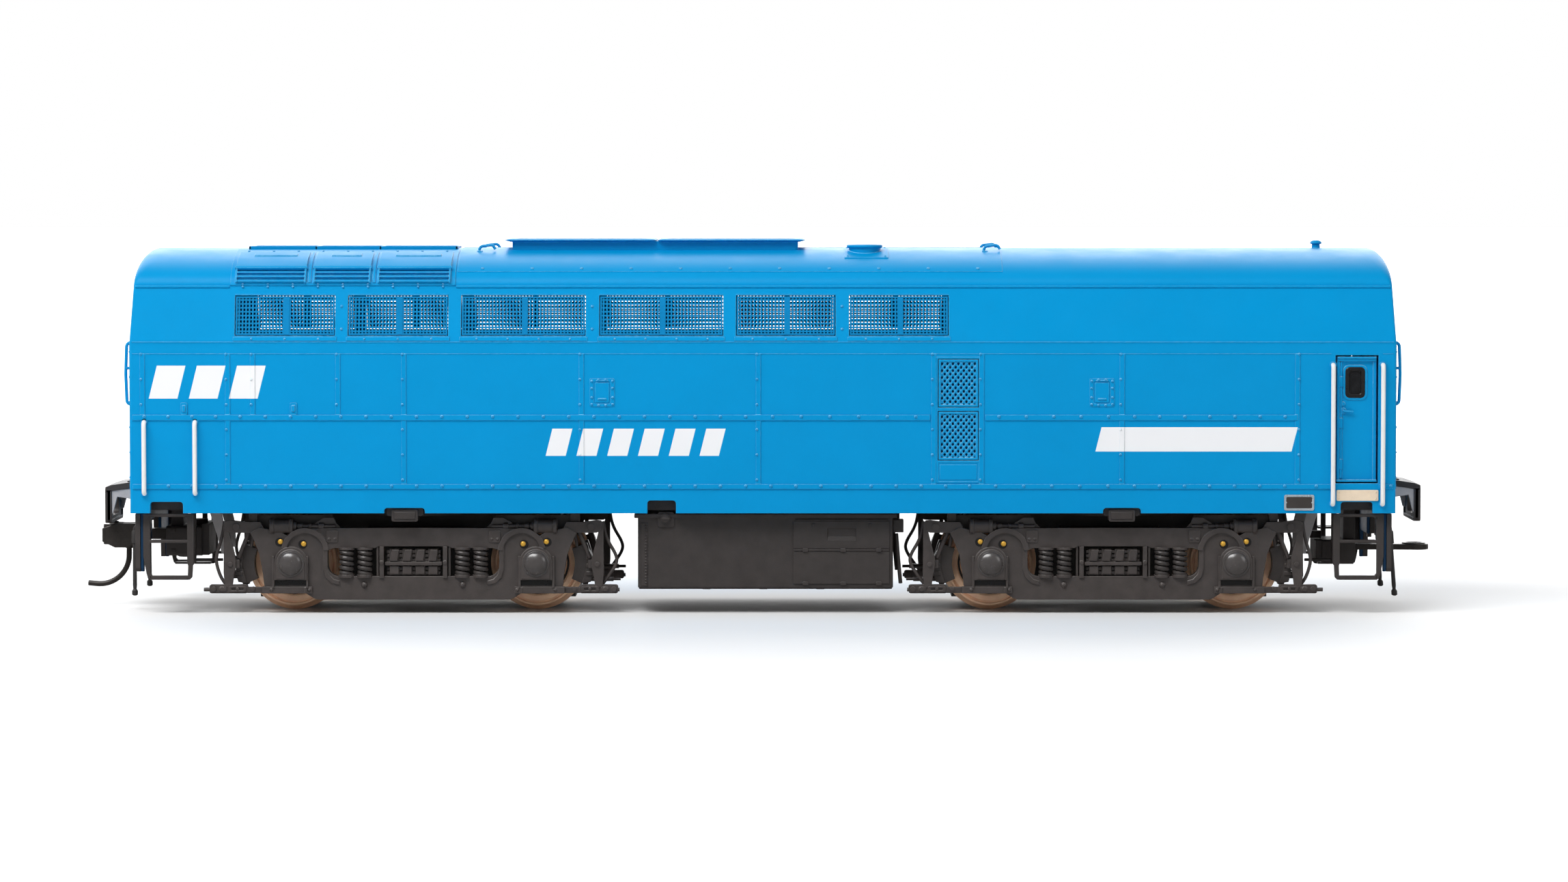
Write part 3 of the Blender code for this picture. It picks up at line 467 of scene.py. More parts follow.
def make_finishes():
    blue = (0.0, 0.275, 0.6)
    soot = (0.043, 0.036, 0.034)
    grey_edge_highlight = (0.17, 0.15, 0.14)
    # Each finish's edge colour is a painted highlight on edges that face upward, mixed with wear.
    return {
        "body": coating("body_paint", blue, 0.38, specular=0.09, mottle=(9.0, 0.025), grain=(0.16, 0.09),
                        edge=((0.35, 0.8, 1.0), 0.9), edge_radius=0.16, marks=white_marks),
        # Rivet paint is the body blue with a much stronger painted highlight on its upward edges, so that the
        # rivet heads look lit.
        "rivets": coating("rivet_paint_highlit", blue, 0.34, specular=0.3, mottle=(9.0, 0.025), grain=(0.16, 0.05),
                          edge=((0.4, 0.82, 1.0), 2.4), edge_radius=0.2, marks=white_marks),
        "screen": coating("screen_blue", (0.0, 0.2, 0.46), 0.5, specular=0.1, mottle=(4.0, 0.06),
                          edge=((0.05, 0.4, 0.75), 0.5), edge_radius=0.04),
        "white": coating("handrail_white", (0.82, 0.81, 0.8), 0.38, mottle=(2.0, 0.03), grain=(0.1, 0.08)),
        "under": coating("underframe_black", soot, 0.5, mottle=(2.2, 0.14), grain=(0.1, 0.3),
                         edge=(grey_edge_highlight, 0.35)),
        "truck": coating("truck_black", (0.056, 0.046, 0.043), 0.4, specular=0.7, mottle=(1.8, 0.18),
                         grain=(0.09, 0.4), edge=((0.26, 0.23, 0.21), 0.8), edge_radius=0.14),
        "springs": coating("spring_black", (0.06, 0.053, 0.05), 0.33, metal=0.2, mottle=(1.2, 0.15),
                           grain=(0.08, 0.3)),
        "dome": coating("cap_black", (0.062, 0.055, 0.053), 0.25, specular=1.0, mottle=(0.9, 0.15),
                        grain=(0.1, 0.12)),
        # The pilot backing's blue is painted dark: the body blue as it looks in shade, a painted shade.
        "shaded_blue": coating("pilot_blue_in_shade", (0.004, 0.035, 0.09), 0.45, specular=0.2, mottle=(2.0, 0.08),
                        grain=(0.12, 0.1)),
        "coupler": coating("coupler_black", (0.036, 0.031, 0.028), 0.36, metal=0.35, mottle=(1.2, 0.2),
                           grain=(0.12, 0.5), edge=((0.22, 0.19, 0.16), 0.5)),
        "gearbox": coating("gearbox_plastic", (0.05, 0.048, 0.045), 0.42, mottle=(2.5, 0.1),
                           grain=(0.1, 0.25), edge=(grey_edge_highlight, 0.25)),
        "gears": coating("gear_plastic", (0.72, 0.69, 0.58), 0.34, mottle=(1.5, 0.05), grain=(0.1, 0.1)),
        "cast": coating("cast_weight", (0.045, 0.042, 0.042), 0.45, metal=0.3, mottle=(1.8, 0.2),
                        grain=(0.2, 0.6), edge=((0.2, 0.2, 0.2), 0.5)),
        "motor": coating("motor_can", (0.42, 0.42, 0.43), 0.3, metal=0.9, mottle=(1.8, 0.1), grain=(0.1, 0.3),
                         edge=((0.6, 0.6, 0.6), 0.5)),
        "steel": coating("steel", (0.56, 0.56, 0.57), 0.24, metal=1.0, mottle=(1.5, 0.07), grain=(0.06, 0.2)),
        "brass": coating("brass", (0.8, 0.56, 0.22), 0.22, metal=1.0, mottle=(2.0, 0.08), grain=(0.08, 0.15)),
        "gold": coating("pickup_gold", (0.95, 0.5, 0.07), 0.3, metal=0.4, mottle=(0.8, 0.12),
                        grain=(0.08, 0.1)),
        "wheel": coating("wheel_bronze", (1.0, 0.58, 0.38), 0.34, metal=0.0, mottle=(1.6, 0.14),
                         grain=(0.07, 0.35), edge=((0.85, 0.72, 0.58), 0.5), turned=True),
        "wheel_face": coating("wheel_face_black", (0.05, 0.044, 0.04), 0.45, mottle=(1.2, 0.15),
                              grain=(0.08, 0.3)),
        "hose": coating("hose_rubber", (0.03, 0.027, 0.026), 0.6, mottle=(1.0, 0.15), grain=(0.12, 0.5)),
        "cable": coating("cable_grey", (0.42, 0.4, 0.4), 0.5, mottle=(1.5, 0.08), grain=(0.1, 0.15)),
        "sill": coating("sill_tan", (0.78, 0.64, 0.48), 0.5, mottle=(0.9, 0.06), grain=(0.1, 0.2)),
        "plate": coating("plate_grey", (0.55, 0.62, 0.68), 0.3, metal=0.5, mottle=(0.5, 0.1),
                         grain=(0.1, 0.2)),
        "gasket": coating("gasket_rubber", (0.012, 0.012, 0.013), 0.3, mottle=(1.0, 0.1), grain=(0.1, 0.1)),
        "glass": glossy_pane("smoked_glass", (0.012, 0.013, 0.015)),
        "board": circuit_green(),
    }


FINISH = make_finishes()


# ---- body shell -------------------------------------------------------------------------
def shell_ring(z, setback, half, radius):
    """The shell's outline at a height: a rectangle with rounded corners."""
    outline = rounded((REAR + setback, FRONT - setback), (-half, half), radius, 6)
    return [(x, y, z) for x, y in outline]


def shell_block(inset, bottom):
    """The shell's outside, or the hollow inside it: upright sides, leaning tops, domed roof."""
    half, eave_half, rise = HALF - inset, EAVE_HALF - inset, RISE - inset
    corner, soft = 0.35, 0.2
    rings = [shell_ring(bottom, inset, half, corner), shell_ring(SHOULDER - soft, inset, half, corner),
             shell_ring(SHOULDER + soft, inset + 0.01, half - LEAN * soft, corner),
             shell_ring(EAVE, inset + END_SETBACK, eave_half, corner)]
    steps, last = 26, 88.5
    for step in range(1, steps + 1):
        turn = math.radians(last * step / steps)
        half_here = eave_half * math.cos(turn)
        radius = min(corner + 2.4 * math.sin(turn), half_here * 0.95)
        rings.append(shell_ring(EAVE + rise * math.sin(turn),
                                inset + END_SETBACK + END_CURVE * (1 - math.cos(turn)), half_here, radius))
    return Sketch().stack(rings)


def roof_spot(z, lift=0.0):
    """The roof's (y, z) where its surface is at height z, lifted along its normal."""
    climb = (z - EAVE) / RISE
    y = EAVE_HALF * math.sqrt(max(0.0, 1 - climb * climb))
    normal = Vector((y / EAVE_HALF ** 2, (z - EAVE) / RISE ** 2)).normalized()
    return y + lift * normal.x, z + lift * normal.y


def roof_normal(z):
    y, low = roof_spot(z)
    above = Vector(roof_spot(z, 1.0)) - Vector((y, low))
    return 0.0, above.x, above.y


def roof_sheet(sketch, x, z, low, high, steps=10):
    """A sheet on one half of the roof between heights z, from lift low to lift high."""
    levels = [z[0] + (z[1] - z[0]) * step / steps for step in range(steps + 1)]
    under = [roof_spot(level, low) for level in levels]
    over = [roof_spot(level, high) for level in levels]
    return sketch.prism(under + over[::-1], "X", *x)


def make_shell():
    shell = as_object(shell_block(0.0, SKIRT), "shell")
    tools = Sketch()
    for _, sign in SIDES:
        deep = between(sign * (HALF - WALL - 3.5), sign * (HALF + 1))
        through = between(sign * (HALF - WALL - 0.6), sign * (HALF + 1))
        for window in WINDOWS:
            tools.box(window, deep, WINDOW_Z)
        for panel in GRILLE_PANELS:
            tools.box(GRILLE_X, between(sign * (HALF - 1.0), sign * (HALF + 1)), panel)
        tools.box(DOOR_X, through, DOOR_Z)
        for low, high, top in NOTCHES:
            tools.prism(rounded((low, high), (SKIRT - 2, top), 0.45), "Y", *through)
    for end_x, sign in ((FRONT, 1), (REAR, -1)):
        tools.box(between(end_x - sign * 0.4, end_x + sign), (-4.2, 4.2), (SKIRT + 4.5, SHOULDER - 0.6))
    cut(shell, shell_block(WALL, SKIRT - 2), tools)
    dress(shell, "body", "body", replaces=("body_shell",), sharp=24)


def bays(low, high, pitch):
    """Evenly spaced places between two seams, as near the pitch as fits."""
    count = max(1, round((high - low) / pitch))
    return [low + (high - low) * (step + 0.5) / count for step in range(count)]


def rivet(sketch, x, z, proud=0.0, radius=0.24):
    sketch.dome((x, HALF + proud, z), (0, 1, 0), radius, radius * 0.8)


def make_side_skin(side, sign):
    """Belts, seams, hatches and their rivets on one side."""
    strips, rivets = Sketch(), Sketch()
    proud = 0.16
    seams = (-74.8, -50.2, -25.4, -0.7, 23.8, 30.5, 50.1, 74.6)
    upper_seams = (-86.7, -71.3, -59.4)
    edge_x = (REAR + 0.4, FRONT - 0.4)

    def strip(x, z, out=proud):
        strips.box(x, (HALF - 0.2, HALF + out), z)

    strip((edge_x[0], DOOR_X[0] - 0.1), LOWER_BELT)
    strip((DOOR_X[1] + 0.1, edge_x[1]), LOWER_BELT)
    for x in ((edge_x[0], seams[4] - 0.5), (seams[5] + 0.5, seams[7])):
        strip(x, UPPER_BELT)
    strip(edge_x, (SHOULDER - 0.16, SHOULDER + 0.02), 0.06)
    for x in ((edge_x[0], DOOR_X[0] - 0.6), (DOOR_X[1] + 0.6, edge_x[1])):
        strip(x, (SHEET_TOP - 0.05, SHEET_TOP + 0.06), 0.05)
    for x in seams:
        strip((x - 0.35, x + 0.35), (LOWER_BELT[1], SHEET_TOP), 0.1)
    for x in upper_seams:
        strip((x - 0.35, x + 0.35), (UPPER_BELT[1], SHEET_TOP), 0.1)

    rivet_pitch, column_pitch = 3.73, 3.51
    columns = [(x, LOWER_BELT[1]) for x in seams] + [(x, UPPER_BELT[1]) for x in upper_seams]
    for x, low in columns:
        level = SHEET_TOP - 0.05
        while level > low:
            rivet(rivets, x - 0.2 if x < 60 else x + 0.2, level, 0.1, 0.2)
            level -= column_pitch
    for belt, stops in ((LOWER_BELT, (edge_x[0], *seams, DOOR_X[0])),
                        (UPPER_BELT, (edge_x[0], *seams[:4], seams[4] - 0.5)),
                        (UPPER_BELT, (seams[5] + 0.5, *seams[6:]))):
        for low, high in zip(stops, stops[1:]):
            for x in bays(low, high, rivet_pitch):
                rivet(rivets, x, belt[1] - 0.27, proud)
    for x in (DOOR_X[1] + 0.7, edge_x[1] - 0.35):
        rivet(rivets, x, LOWER_BELT[1] - 0.27, proud)

    for middle in (-22.5, 47.3):
        x, z = (middle - 1.75, middle + 1.75), (SKIRT + 14.9, SKIRT + 18.9)
        strips.plate([rounded(x, z, 0.25), rounded(grown(x, -0.6), grown(z, -0.45), 0.2)], "Y", HALF - 0.2,
                     HALF + 0.07)
        strips.prism(rounded(grown(x, -0.75), grown(z, -0.6), 0.2), "Y", HALF - 0.2, HALF + 0.1)
        strips.box((middle - 0.55, middle + 0.55), (HALF, HALF + 0.22), (z[0] + 0.95, z[0] + 1.15))
        strips.box((middle - 0.8, middle + 0.8), (HALF, HALF + 0.2), (z[1] - 0.42, z[1] - 0.3))
        for level in (0.35, 1.3, 2.6, 3.6):
            for across in (-1.45, 1.45):
                rivet(rivets, middle + across, z[0] + level, 0.1, 0.19)
        for across in (-0.5, 0.5):
            rivet(rivets, middle + across, z[0] + 0.22, 0.1, 0.19)
            rivet(rivets, middle + across, z[1] - 0.22, 0.1, 0.19)
    for x in (-80.9, -65.6):
        low = SKIRT + 13.8
        strips.prism(rounded((x - 0.5, x + 0.5), (low, low + 1.7), 0.2), "Y", HALF - 0.2, HALF + 0.14)
        strips.box((x - 0.22, x + 0.22), (HALF, HALF + 0.34), (low + 0.45, low + 1.3))
    place(strips, f"side_strips_{side}", "body", sign, bevel=0.05)
    place(rivets, f"side_rivets_{side}", "rivets", sign)


def make_window_band(side, sign):
    """Frames, sills and rivets of the leaning upper band, and its eave bead."""
    trim, rivets = Sketch(), Sketch()
    low, high = WINDOW_Z
    for number, (left, right) in enumerate(WINDOWS):
        sill = (left - 0.25, right + 0.25)
        trim.box(sill, (HALF - 0.2, HALF + 0.1), (low - 0.72, low - 0.12))
        trim.box((left, right), (HALF - 0.2, HALF + 0.05), (high + 0.06, high + 0.22))
        for x in bays(left, right, 4.2):
            rivets.dome((x, HALF + 0.1, low - 0.42), (0, 1, 0), 0.16, 0.11)
        if number in (0, 2, 4):
            for z in (low + 0.95, high - 1.5):
                rivets.dome((right + 0.9, HALF, z), (0, 1, 0), 0.2, 0.15)
    for sketch in (trim, rivets):
        sketch.move(lean_in)
    bead_y, bead = EAVE_HALF, 0.22
    for x in ((REAR + END_SETBACK + 0.3, -74.6), (-42.9, FRONT - END_SETBACK - 0.3)):
        trim.prism(rounded((bead_y - 0.25, bead_y + bead), (EAVE - 0.18, EAVE + 0.2), 0.16), "X", *x)
    for x in bays(-74.5, -43.0, 3.5):
        rivets.dome((x, EAVE_HALF + 0.12, EAVE - 0.02), (0, 1, 0.2), 0.17, 0.13)
    place(trim, f"window_trim_{side}", "body", sign, bevel=0.04)
    place(rivets, f"window_rivets_{side}", "rivets", sign)


def make_screens(side, sign):
    """Etched wire screens in frames behind the window openings."""
    lattice = Sketch()
    face = HALF - 0.16
    wire, thick, pitch = 0.22, 0.25, 0.48
    low, high = WINDOW_Z
    for left, right in WINDOWS:
        x, z = (left + 0.1, right - 0.1), (low + 0.1, high - 0.1)
        rim = 0.26
        lattice.plate([((x[0], z[0]), (x[1], z[0]), (x[1], z[1]), (x[0], z[1])),
                       ((x[0] + rim, z[0] + rim), (x[0] + rim, z[1] - rim), (x[1] - rim, z[1] - rim),
                        (x[1] - rim, z[0] + rim))], "Y", face - 0.5, face + 0.04)
        middle = (left + right) / 2 + 0.2
        lattice.box((middle - 0.42, middle + 0.42), (face - 0.35, face + 0.06), grown(z, -0.05))
        for place_x in bays(x[0] + rim, x[1] - rim, pitch):
            lattice.box((place_x - wire / 2, place_x + wire / 2), (face - thick, face - 0.01),
                        grown(z, -0.05))
        for level in bays(z[0] + rim, z[1] - rim, pitch * 1.08):
            lattice.box(grown(x, -0.05), (face - thick - 0.02, face - 0.03),
                        (level - wire / 2, level + wire / 2))
    lattice.move(lean_in)
    place(lattice, f"screens_{side}", "screen", sign,
          replaces=(f"window_screens_{side}",))


def make_grilles(side, sign):
    """Two perforated panels in a recessed frame, and a plain panel below."""
    grille = Sketch()
    bar, pitch, slope = 0.27, 0.96, 1.26
    floor_y, face = HALF - 1.0, HALF - 0.08
    for low, high in GRILLE_PANELS:
        x, z = grown(GRILLE_X, -0.1), (low + 0.1, high - 0.1)
        outer = ((x[0], z[0]), (x[1], z[0]), (x[1], z[1]), (x[0], z[1]))
        rim = 0.3
        inner = tuple((x[0] + rim if px == x[0] else x[1] - rim, z[0] + rim if pz == z[0] else z[1] - rim)
                      for px, pz in outer)
        grille.plate([outer, inner], "Y", floor_y - 0.2, face + 0.12)
        left, right, bottom, top = x[0] + 0.15, x[1] - 0.15, z[0] + 0.15, z[1] - 0.15
        for way, depth in ((1, 0.0), (-1, 0.015)):
            start = bottom - slope * (right - left)
            while start < top + slope * (right - left):
                rows = [(left, start), (right, start + slope * (right - left))]
                if way < 0:
                    rows = [(left, start + slope * (right - left)), (right, start)]
                clipped = clip_line(rows, (bottom, top))
                if clipped:
                    (ax, az), (bx, bz) = clipped
                    off = bar / math.sqrt(2)
                    outline = ((ax - off / 2, az + way * off / 2), (ax + off / 2, az - way * off / 2),
                               (bx + off / 2, bz - way * off / 2), (bx - off / 2, bz + way * off / 2))
                    grille.prism(outline, "Y", face - 0.45 - depth, face - depth)
                start += pitch
    place(grille, f"grille_{side}", "body", sign)
    frame_strips = Sketch()
    x = grown(GRILLE_X, 0.32)
    z = (SKIRT + 4.25, SKIRT + 21.9)
    frame_strips.plate([rounded(x, z, 0.1, 2), rounded(grown(GRILLE_X, 0.02),
                                                       (GRILLE_PANELS[0][0] - 0.02, z[1] - 0.3), 0.05, 2),
                        rounded(grown(GRILLE_X, -0.1), (z[0] + 0.25, GRILLE_PANELS[0][0] - 0.35), 0.05, 2)],
                       "Y", HALF - 0.2, HALF + 0.06)
    frame_strips.box(grown(GRILLE_X, -0.25), (HALF - 0.2, HALF + 0.05),
                     (z[0] + 0.45, GRILLE_PANELS[0][0] - 0.55))
    place(frame_strips, f"grille_frame_{side}", "body", sign, bevel=0.03)


def clip_line(line, z):
    """The stretch of a sloping line that is between two heights, or None."""
    (ax, az), (bx, bz) = line
    low, high = sorted(((z[0] - az) / (bz - az), (z[1] - az) / (bz - az)))
    shares = (max(0.0, low), min(1.0, high))
    if shares[1] - shares[0] < 0.02:
        return None
    return [(ax + (bx - ax) * share, az + (bz - az) * share) for share in shares]


# ---- roof -------------------------------------------------------------------------------
def make_roof_hatch():
    """The louvred hatch: three boxes a side over a riveted base, and a raised walk on top."""
    hatch, rivets = Sketch(), Sketch()
    x = (-74.5, -43.0)
    sections = ((-73.8, -63.9), (-62.9, -54.9), (-53.9, -43.7))
    base = (EAVE + 0.15, CROWN - 0.25)
    lip_z, top_z = EAVE + 2.2, EAVE + 4.45
    for _, sign in SIDES:
        part, studs = Sketch(), Sketch()
        roof_sheet(part, x, base, -0.2, 0.14)
        for left, right in sections:
            lower, upper = roof_spot(lip_z, 0.66), roof_spot(top_z, 0.3)
            foot, head = roof_spot(lip_z, -0.1), roof_spot(top_z, -0.1)
            middle = roof_spot((lip_z + top_z) / 2, 0.56)
            part.prism((foot, lower, middle, upper, head), "X", left, right)
            lip = roof_spot(lip_z - 0.16, 0.74)
            part.prism((roof_spot(lip_z - 0.16, 0.3), lip, roof_spot(lip_z + 0.1, 0.74),
                        roof_spot(lip_z + 0.1, 0.3)),
                       "X", left - 0.12, right + 0.12)
            slot_z = EAVE + 3.95
            part.prism((roof_spot(slot_z - 0.14, 0.2), roof_spot(slot_z - 0.14, 0.52),
                        roof_spot(slot_z + 0.16, 0.48), roof_spot(slot_z + 0.16, 0.2)), "X", left + 2.2,
                       right - 1.6)
            for slat in range(3):
                level = EAVE + 0.72 + slat * 0.52
                part.prism((roof_spot(level, -0.1), roof_spot(level - 0.2, 0.5),
                            roof_spot(level - 0.05, 0.56), roof_spot(level + 0.24, 0.1)), "X", left + 0.15,
                           right - 0.15)
            for edge in (left, right - 0.25):
                roof_sheet(part, (edge, edge + 0.25), (EAVE + 0.45, lip_z), 0.0, 0.58, 4)
        for left, right in zip([section[1] for section in sections],
                               [section[0] for section in sections[1:]]):
            middle = (left + right) / 2
            roof_sheet(part, (middle - 0.2, middle + 0.2), (EAVE + 0.5, top_z), 0.0, 0.3, 6)
        for place_x in bays(*x, 3.6):
            studs.dome((place_x, *roof_spot(top_z + 0.25, 0.14)), roof_normal(top_z + 0.25), 0.17, 0.13)
            studs.dome((place_x, *roof_spot(EAVE + 0.32, 0.14)), roof_normal(EAVE + 0.32), 0.16, 0.12)
        hatch.absorb(part.mirror(sign))
        rivets.absorb(studs.mirror(sign))
    walk_z = (CROWN - 0.35, CROWN + 0.3)
    for y in (-4.6, 4.3):
        hatch.box((-73.0, -43.4), (y, y + 0.3), walk_z)
    for place_x in (-73.0, -63.6, -54.5, -43.7):
        hatch.box((place_x, place_x + 0.3), (-4.6, 4.6), walk_z)
    for low, high in ((-72.4, -63.9), (-63.0, -54.8), (-53.9, -44.0)):
        for line in range(5):
            y = -3.6 + line * 1.8
            hatch.box((low, high), (y - 0.22, y + 0.22), (walk_z[0] - 0.2, walk_z[1] - 0.12))
    place(hatch, "roof_hatch", "body", bevel=0.05,
                  replaces=("roof_louvre_hatch",))
    place(rivets, "roof_hatch_rivets", "rivets")


def make_roof_sheets():
    """The lapped roof sheet behind the windows, its rivets and the lifting lugs."""
    sheet, rivets, lugs = Sketch(), Sketch(), Sketch()
    x = (-42.8, 33.5)
    lap_z = EAVE + 2.0
    for _, sign in SIDES:
        part = Sketch()
        roof_sheet(part, x, (lap_z, CROWN - 0.02), -0.2, 0.09, 14)
        sheet.absorb(part.mirror(sign))
        for place_x in bays(*x, 7.0):
            y, z = roof_spot(lap_z + 0.4, 0.09)
            way = roof_normal(lap_z + 0.4)
            rivets.dome((place_x, sign * y, z), (0, sign * way[1], way[2]), 0.24, 0.18, 10)
    for place_x in (-39.2, 32.2):
        for _, sign in SIDES:
            y = sign * 6.4
            foot = roof_spot(CROWN - 0.45)[1]
            path = soften(((place_x - 1.1, y, foot - 0.2), (place_x - 0.9, y, foot + 0.75),
                           (place_x + 0.9, y, foot + 0.95), (place_x + 1.25, y, foot + 0.35)), 0.4)
            lugs.tube(path, 0.2, 8)
            lugs.box((place_x - 1.3, place_x - 0.5), (y - 0.5, y + 0.5), (foot - 0.4, foot + 0.12))
    place(sheet, "roof_sheet", "body", bevel=0.03)
    place(rivets, "roof_rivets", "rivets")
    place(lugs, "lifting_lugs", "body")


def make_radiator_hatch():
    """Two thin flared plates over a low plinth, with slotted tops."""
    low, high = span("radiator_hatch")
    hatch = Sketch()
    middle, top = -15.1, high.z
    plinth_half = high.y - 0.9
    hatch.prism(rounded((low.x + 1.0, high.x - 1.0), (-plinth_half, plinth_half), 0.5), "Z", CROWN - 0.9,
                top - 0.3)
    for left, right in ((low.x, middle - 0.08), (middle + 0.08, high.x)):
        rings = []
        for z, inset in ((top - 0.42, 0.75), (top - 0.24, 0.06), (top - 0.16, 0.0), (top - 0.02, 0.35),
                         (top, 0.55)):
            outline = rounded((left + inset, right - inset), (low.y + inset, high.y - inset),
                              0.7 - inset * 0.5, 5)
            rings.append([(x, y, z) for x, y in outline])
        hatch.stack(rings)
        for line in range(9):
            y = -4.4 + line * 1.1
            hatch.box((left + 1.5, right - 1.5), (y - 0.28, y + 0.28), (top - 0.05, top + 0.0))
    place(hatch, "radiator_plates", "body", bevel=0.04, replaces=("radiator_hatch",))


def make_exhaust():
    """An oval-lipped stack on a thin rounded plate that follows the roof."""
    low, high = span("exhaust_stack")
    stack = Sketch()
    centre = ((low.x + high.x) / 2 - 0.2, (low.y + high.y) / 2 + 0.6)
    bends = [low.y + (high.y - low.y) * step / 8 for step in range(9)]
    skin = [(y, EAVE + RISE * math.sqrt(1 - (y / EAVE_HALF) ** 2)) for y in bends]
    under = [(y, z - 0.2) for y, z in skin]
    over = [(y, z + 0.26) for y, z in skin]
    stack.prism(under + over[::-1], "X", low.x, high.x)
    lip, top = 2.35, high.z
    stack.lathe([(top - 1.9, lip - 0.1), (top - 0.5, lip - 0.1), (top - 0.35, lip + 0.18),
                 (top - 0.08, lip + 0.18), (top, lip + 0.05), (top, lip - 0.35), (top - 0.1, lip - 0.5),
                 (top - 1.1, lip - 0.55)], "Z", centre, 40)
    for x in (low.x + 0.45, high.x - 0.45):
        for y in (low.y + 0.5, high.y - 0.5):
            z = EAVE + RISE * math.sqrt(1 - (y / EAVE_HALF) ** 2) + 0.26
            stack.dome((x, y, z), (0, -0.1, 1), 0.18, 0.13)
    place(stack, "exhaust_lip", "body", bevel=0.04, replaces=("exhaust_stack",))

    low, high = span("mushroom_vent")
    centre = ((low.x + high.x) / 2, 0.0)
    vent, top = Sketch(), high.z
    vent.lathe([(top - 1.4, 0.95), (top - 1.12, 0.9), (top - 1.1, 0.6), (top - 0.55, 0.56), (top - 0.5, 0.8),
                (top - 0.34, 0.84), (top - 0.12, 0.68), (top - 0.02, 0.4), (top, 0.12)], "Z", centre, 28)
    place(vent, "vent_cap", "body", replaces=("mushroom_vent",))


# ---- doors and rails --------------------------------------------------------------------
def make_door(side, sign):
    leaf = Sketch()
    low, high = span(f"side_door_{side}")
    x, z = (low.x, high.x), (low.z, high.z)
    face = HALF - 0.62
    pane_x, pane_z = (x[0] + 1.35, x[0] + 3.85), (z[1] - 5.65, z[1] - 1.6)
    leaf.plate([((x[0], z[0]), (x[1], z[0]), (x[1], z[1]), (x[0], z[1])),
                rounded(pane_x, pane_z, 0.55)[::-1]],
               "Y", face - 0.8, face)
    leaf.plate([rounded(grown(pane_x, 0.42), grown(pane_z, 0.42), 0.8),
                rounded(grown(pane_x, 0.12), grown(pane_z, 0.12), 0.6)[::-1]],
               "Y", face - 0.2, face + 0.12)
    leaf.box((x[0] + 0.1, x[1] - 0.1), (face - 0.2, HALF - 0.2), (z[1] - 0.62, z[1] - 0.3))
    leaf.box((x[0] + 0.1, x[1] - 0.1), (face - 0.2, HALF - 0.05), (z[1] - 0.28, z[1]))
    leaf.box((x[0] + 0.05, x[0] + 0.42), (face - 0.2, face + 0.3), (z[0], z[1] - 0.6))
    leaf.box((x[1] - 0.5, x[1] - 0.08), (face - 0.2, face + 0.22), (z[0], z[1] - 0.6))
    leaf.box((x[0], x[1]), (face - 0.2, HALF - 0.1), (z[0], z[0] + 0.28))
    leaf.rod("Z", (x[0] + 0.62, face + 0.06), 0.2, z[0] + 0.5, z[1] - 0.7, 12)
    for level in (0.14, 0.47, 0.8):
        middle = z[0] + level * (z[1] - z[0])
        leaf.rod("Z", (x[0] + 0.62, face + 0.08), 0.3, middle - 0.7, middle + 0.7, 12)
    handle_z = z[0] + 9.9
    leaf.rod("Y", (x[0] + 0.95, handle_z), 0.42, face - 0.1, face + 0.2)
    leaf.tube(soften(((x[0] + 0.95, face + 0.1, handle_z), (x[0] + 0.95, face + 0.46, handle_z),
                      (x[0] + 2.3, face + 0.46, handle_z - 0.12)), 0.2), 0.17, 8)
    leaf.rod("Y", (x[0] + 0.95, handle_z + 1.0), 0.28, face - 0.1, face + 0.17)
    place(leaf, f"door_leaf_{side}", "body", sign, bevel=0.04,
          replaces=(f"side_door_{side}",))

    gasket = Sketch()
    gasket.plate([rounded(grown(pane_x, 0.14), grown(pane_z, 0.14), 0.62),
                  rounded(grown(pane_x, -0.42), grown(pane_z, -0.42), 0.3)[::-1]],
                 "Y", face - 0.3, face + 0.2)
    place(gasket, f"door_gasket_{side}", "gasket", sign, bevel=0.1)
    pane = Sketch().prism(rounded(grown(pane_x, -0.2), grown(pane_z, -0.2), 0.4), "Y", face - 0.5,
                          face - 0.12)
    place(pane, f"door_pane_{side}", "glass", sign, bevel=0.05)

    sill = Sketch().prism(rounded((DOOR_X[0] + 0.2, DOOR_X[1] + 0.05),
                                  (LOWER_BELT[0] - 1.65, LOWER_BELT[0] - 0.12), 0.15), "Y",
                          HALF - 0.2, HALF + 0.22)
    for px in (DOOR_X[0] + 0.55, DOOR_X[1] - 0.3):
        for pz in (LOWER_BELT[0] - 1.35, LOWER_BELT[0] - 0.42):
            sill.dome((px, HALF + 0.22, pz), (0, 1, 0), 0.13, 0.08)
    place(sill, f"door_sill_{side}", "sill", sign, bevel=0.06)
    tag = Sketch().prism(rounded((72.8, 77.0), (SKIRT + 0.4, SKIRT + 2.6), 0.25), "Y", HALF - 0.1,
                         HALF + 0.07)
    for px in (73.1, 76.7):
        tag.dome((px, HALF + 0.07, SKIRT + 1.5), (0, 1, 0), 0.12, 0.08)
    tag.plate([rounded((72.8, 77.0), (SKIRT + 0.4, SKIRT + 2.6), 0.25),
               rounded((73.1, 76.7), (SKIRT + 0.7, SKIRT + 2.3), 0.15)[::-1]],
              "Y", HALF, HALF + 0.13)
    place(tag, f"tag_rim_{side}", "plate", sign, bevel=0.02)
    blank = Sketch().prism(rounded((73.0, 76.8), (SKIRT + 0.6, SKIRT + 2.4), 0.15), "Y", HALF - 0.05,
                           HALF + 0.09)
    place(blank, f"tag_middle_{side}", "under", sign, slot="body_paint", bevel=0.02)


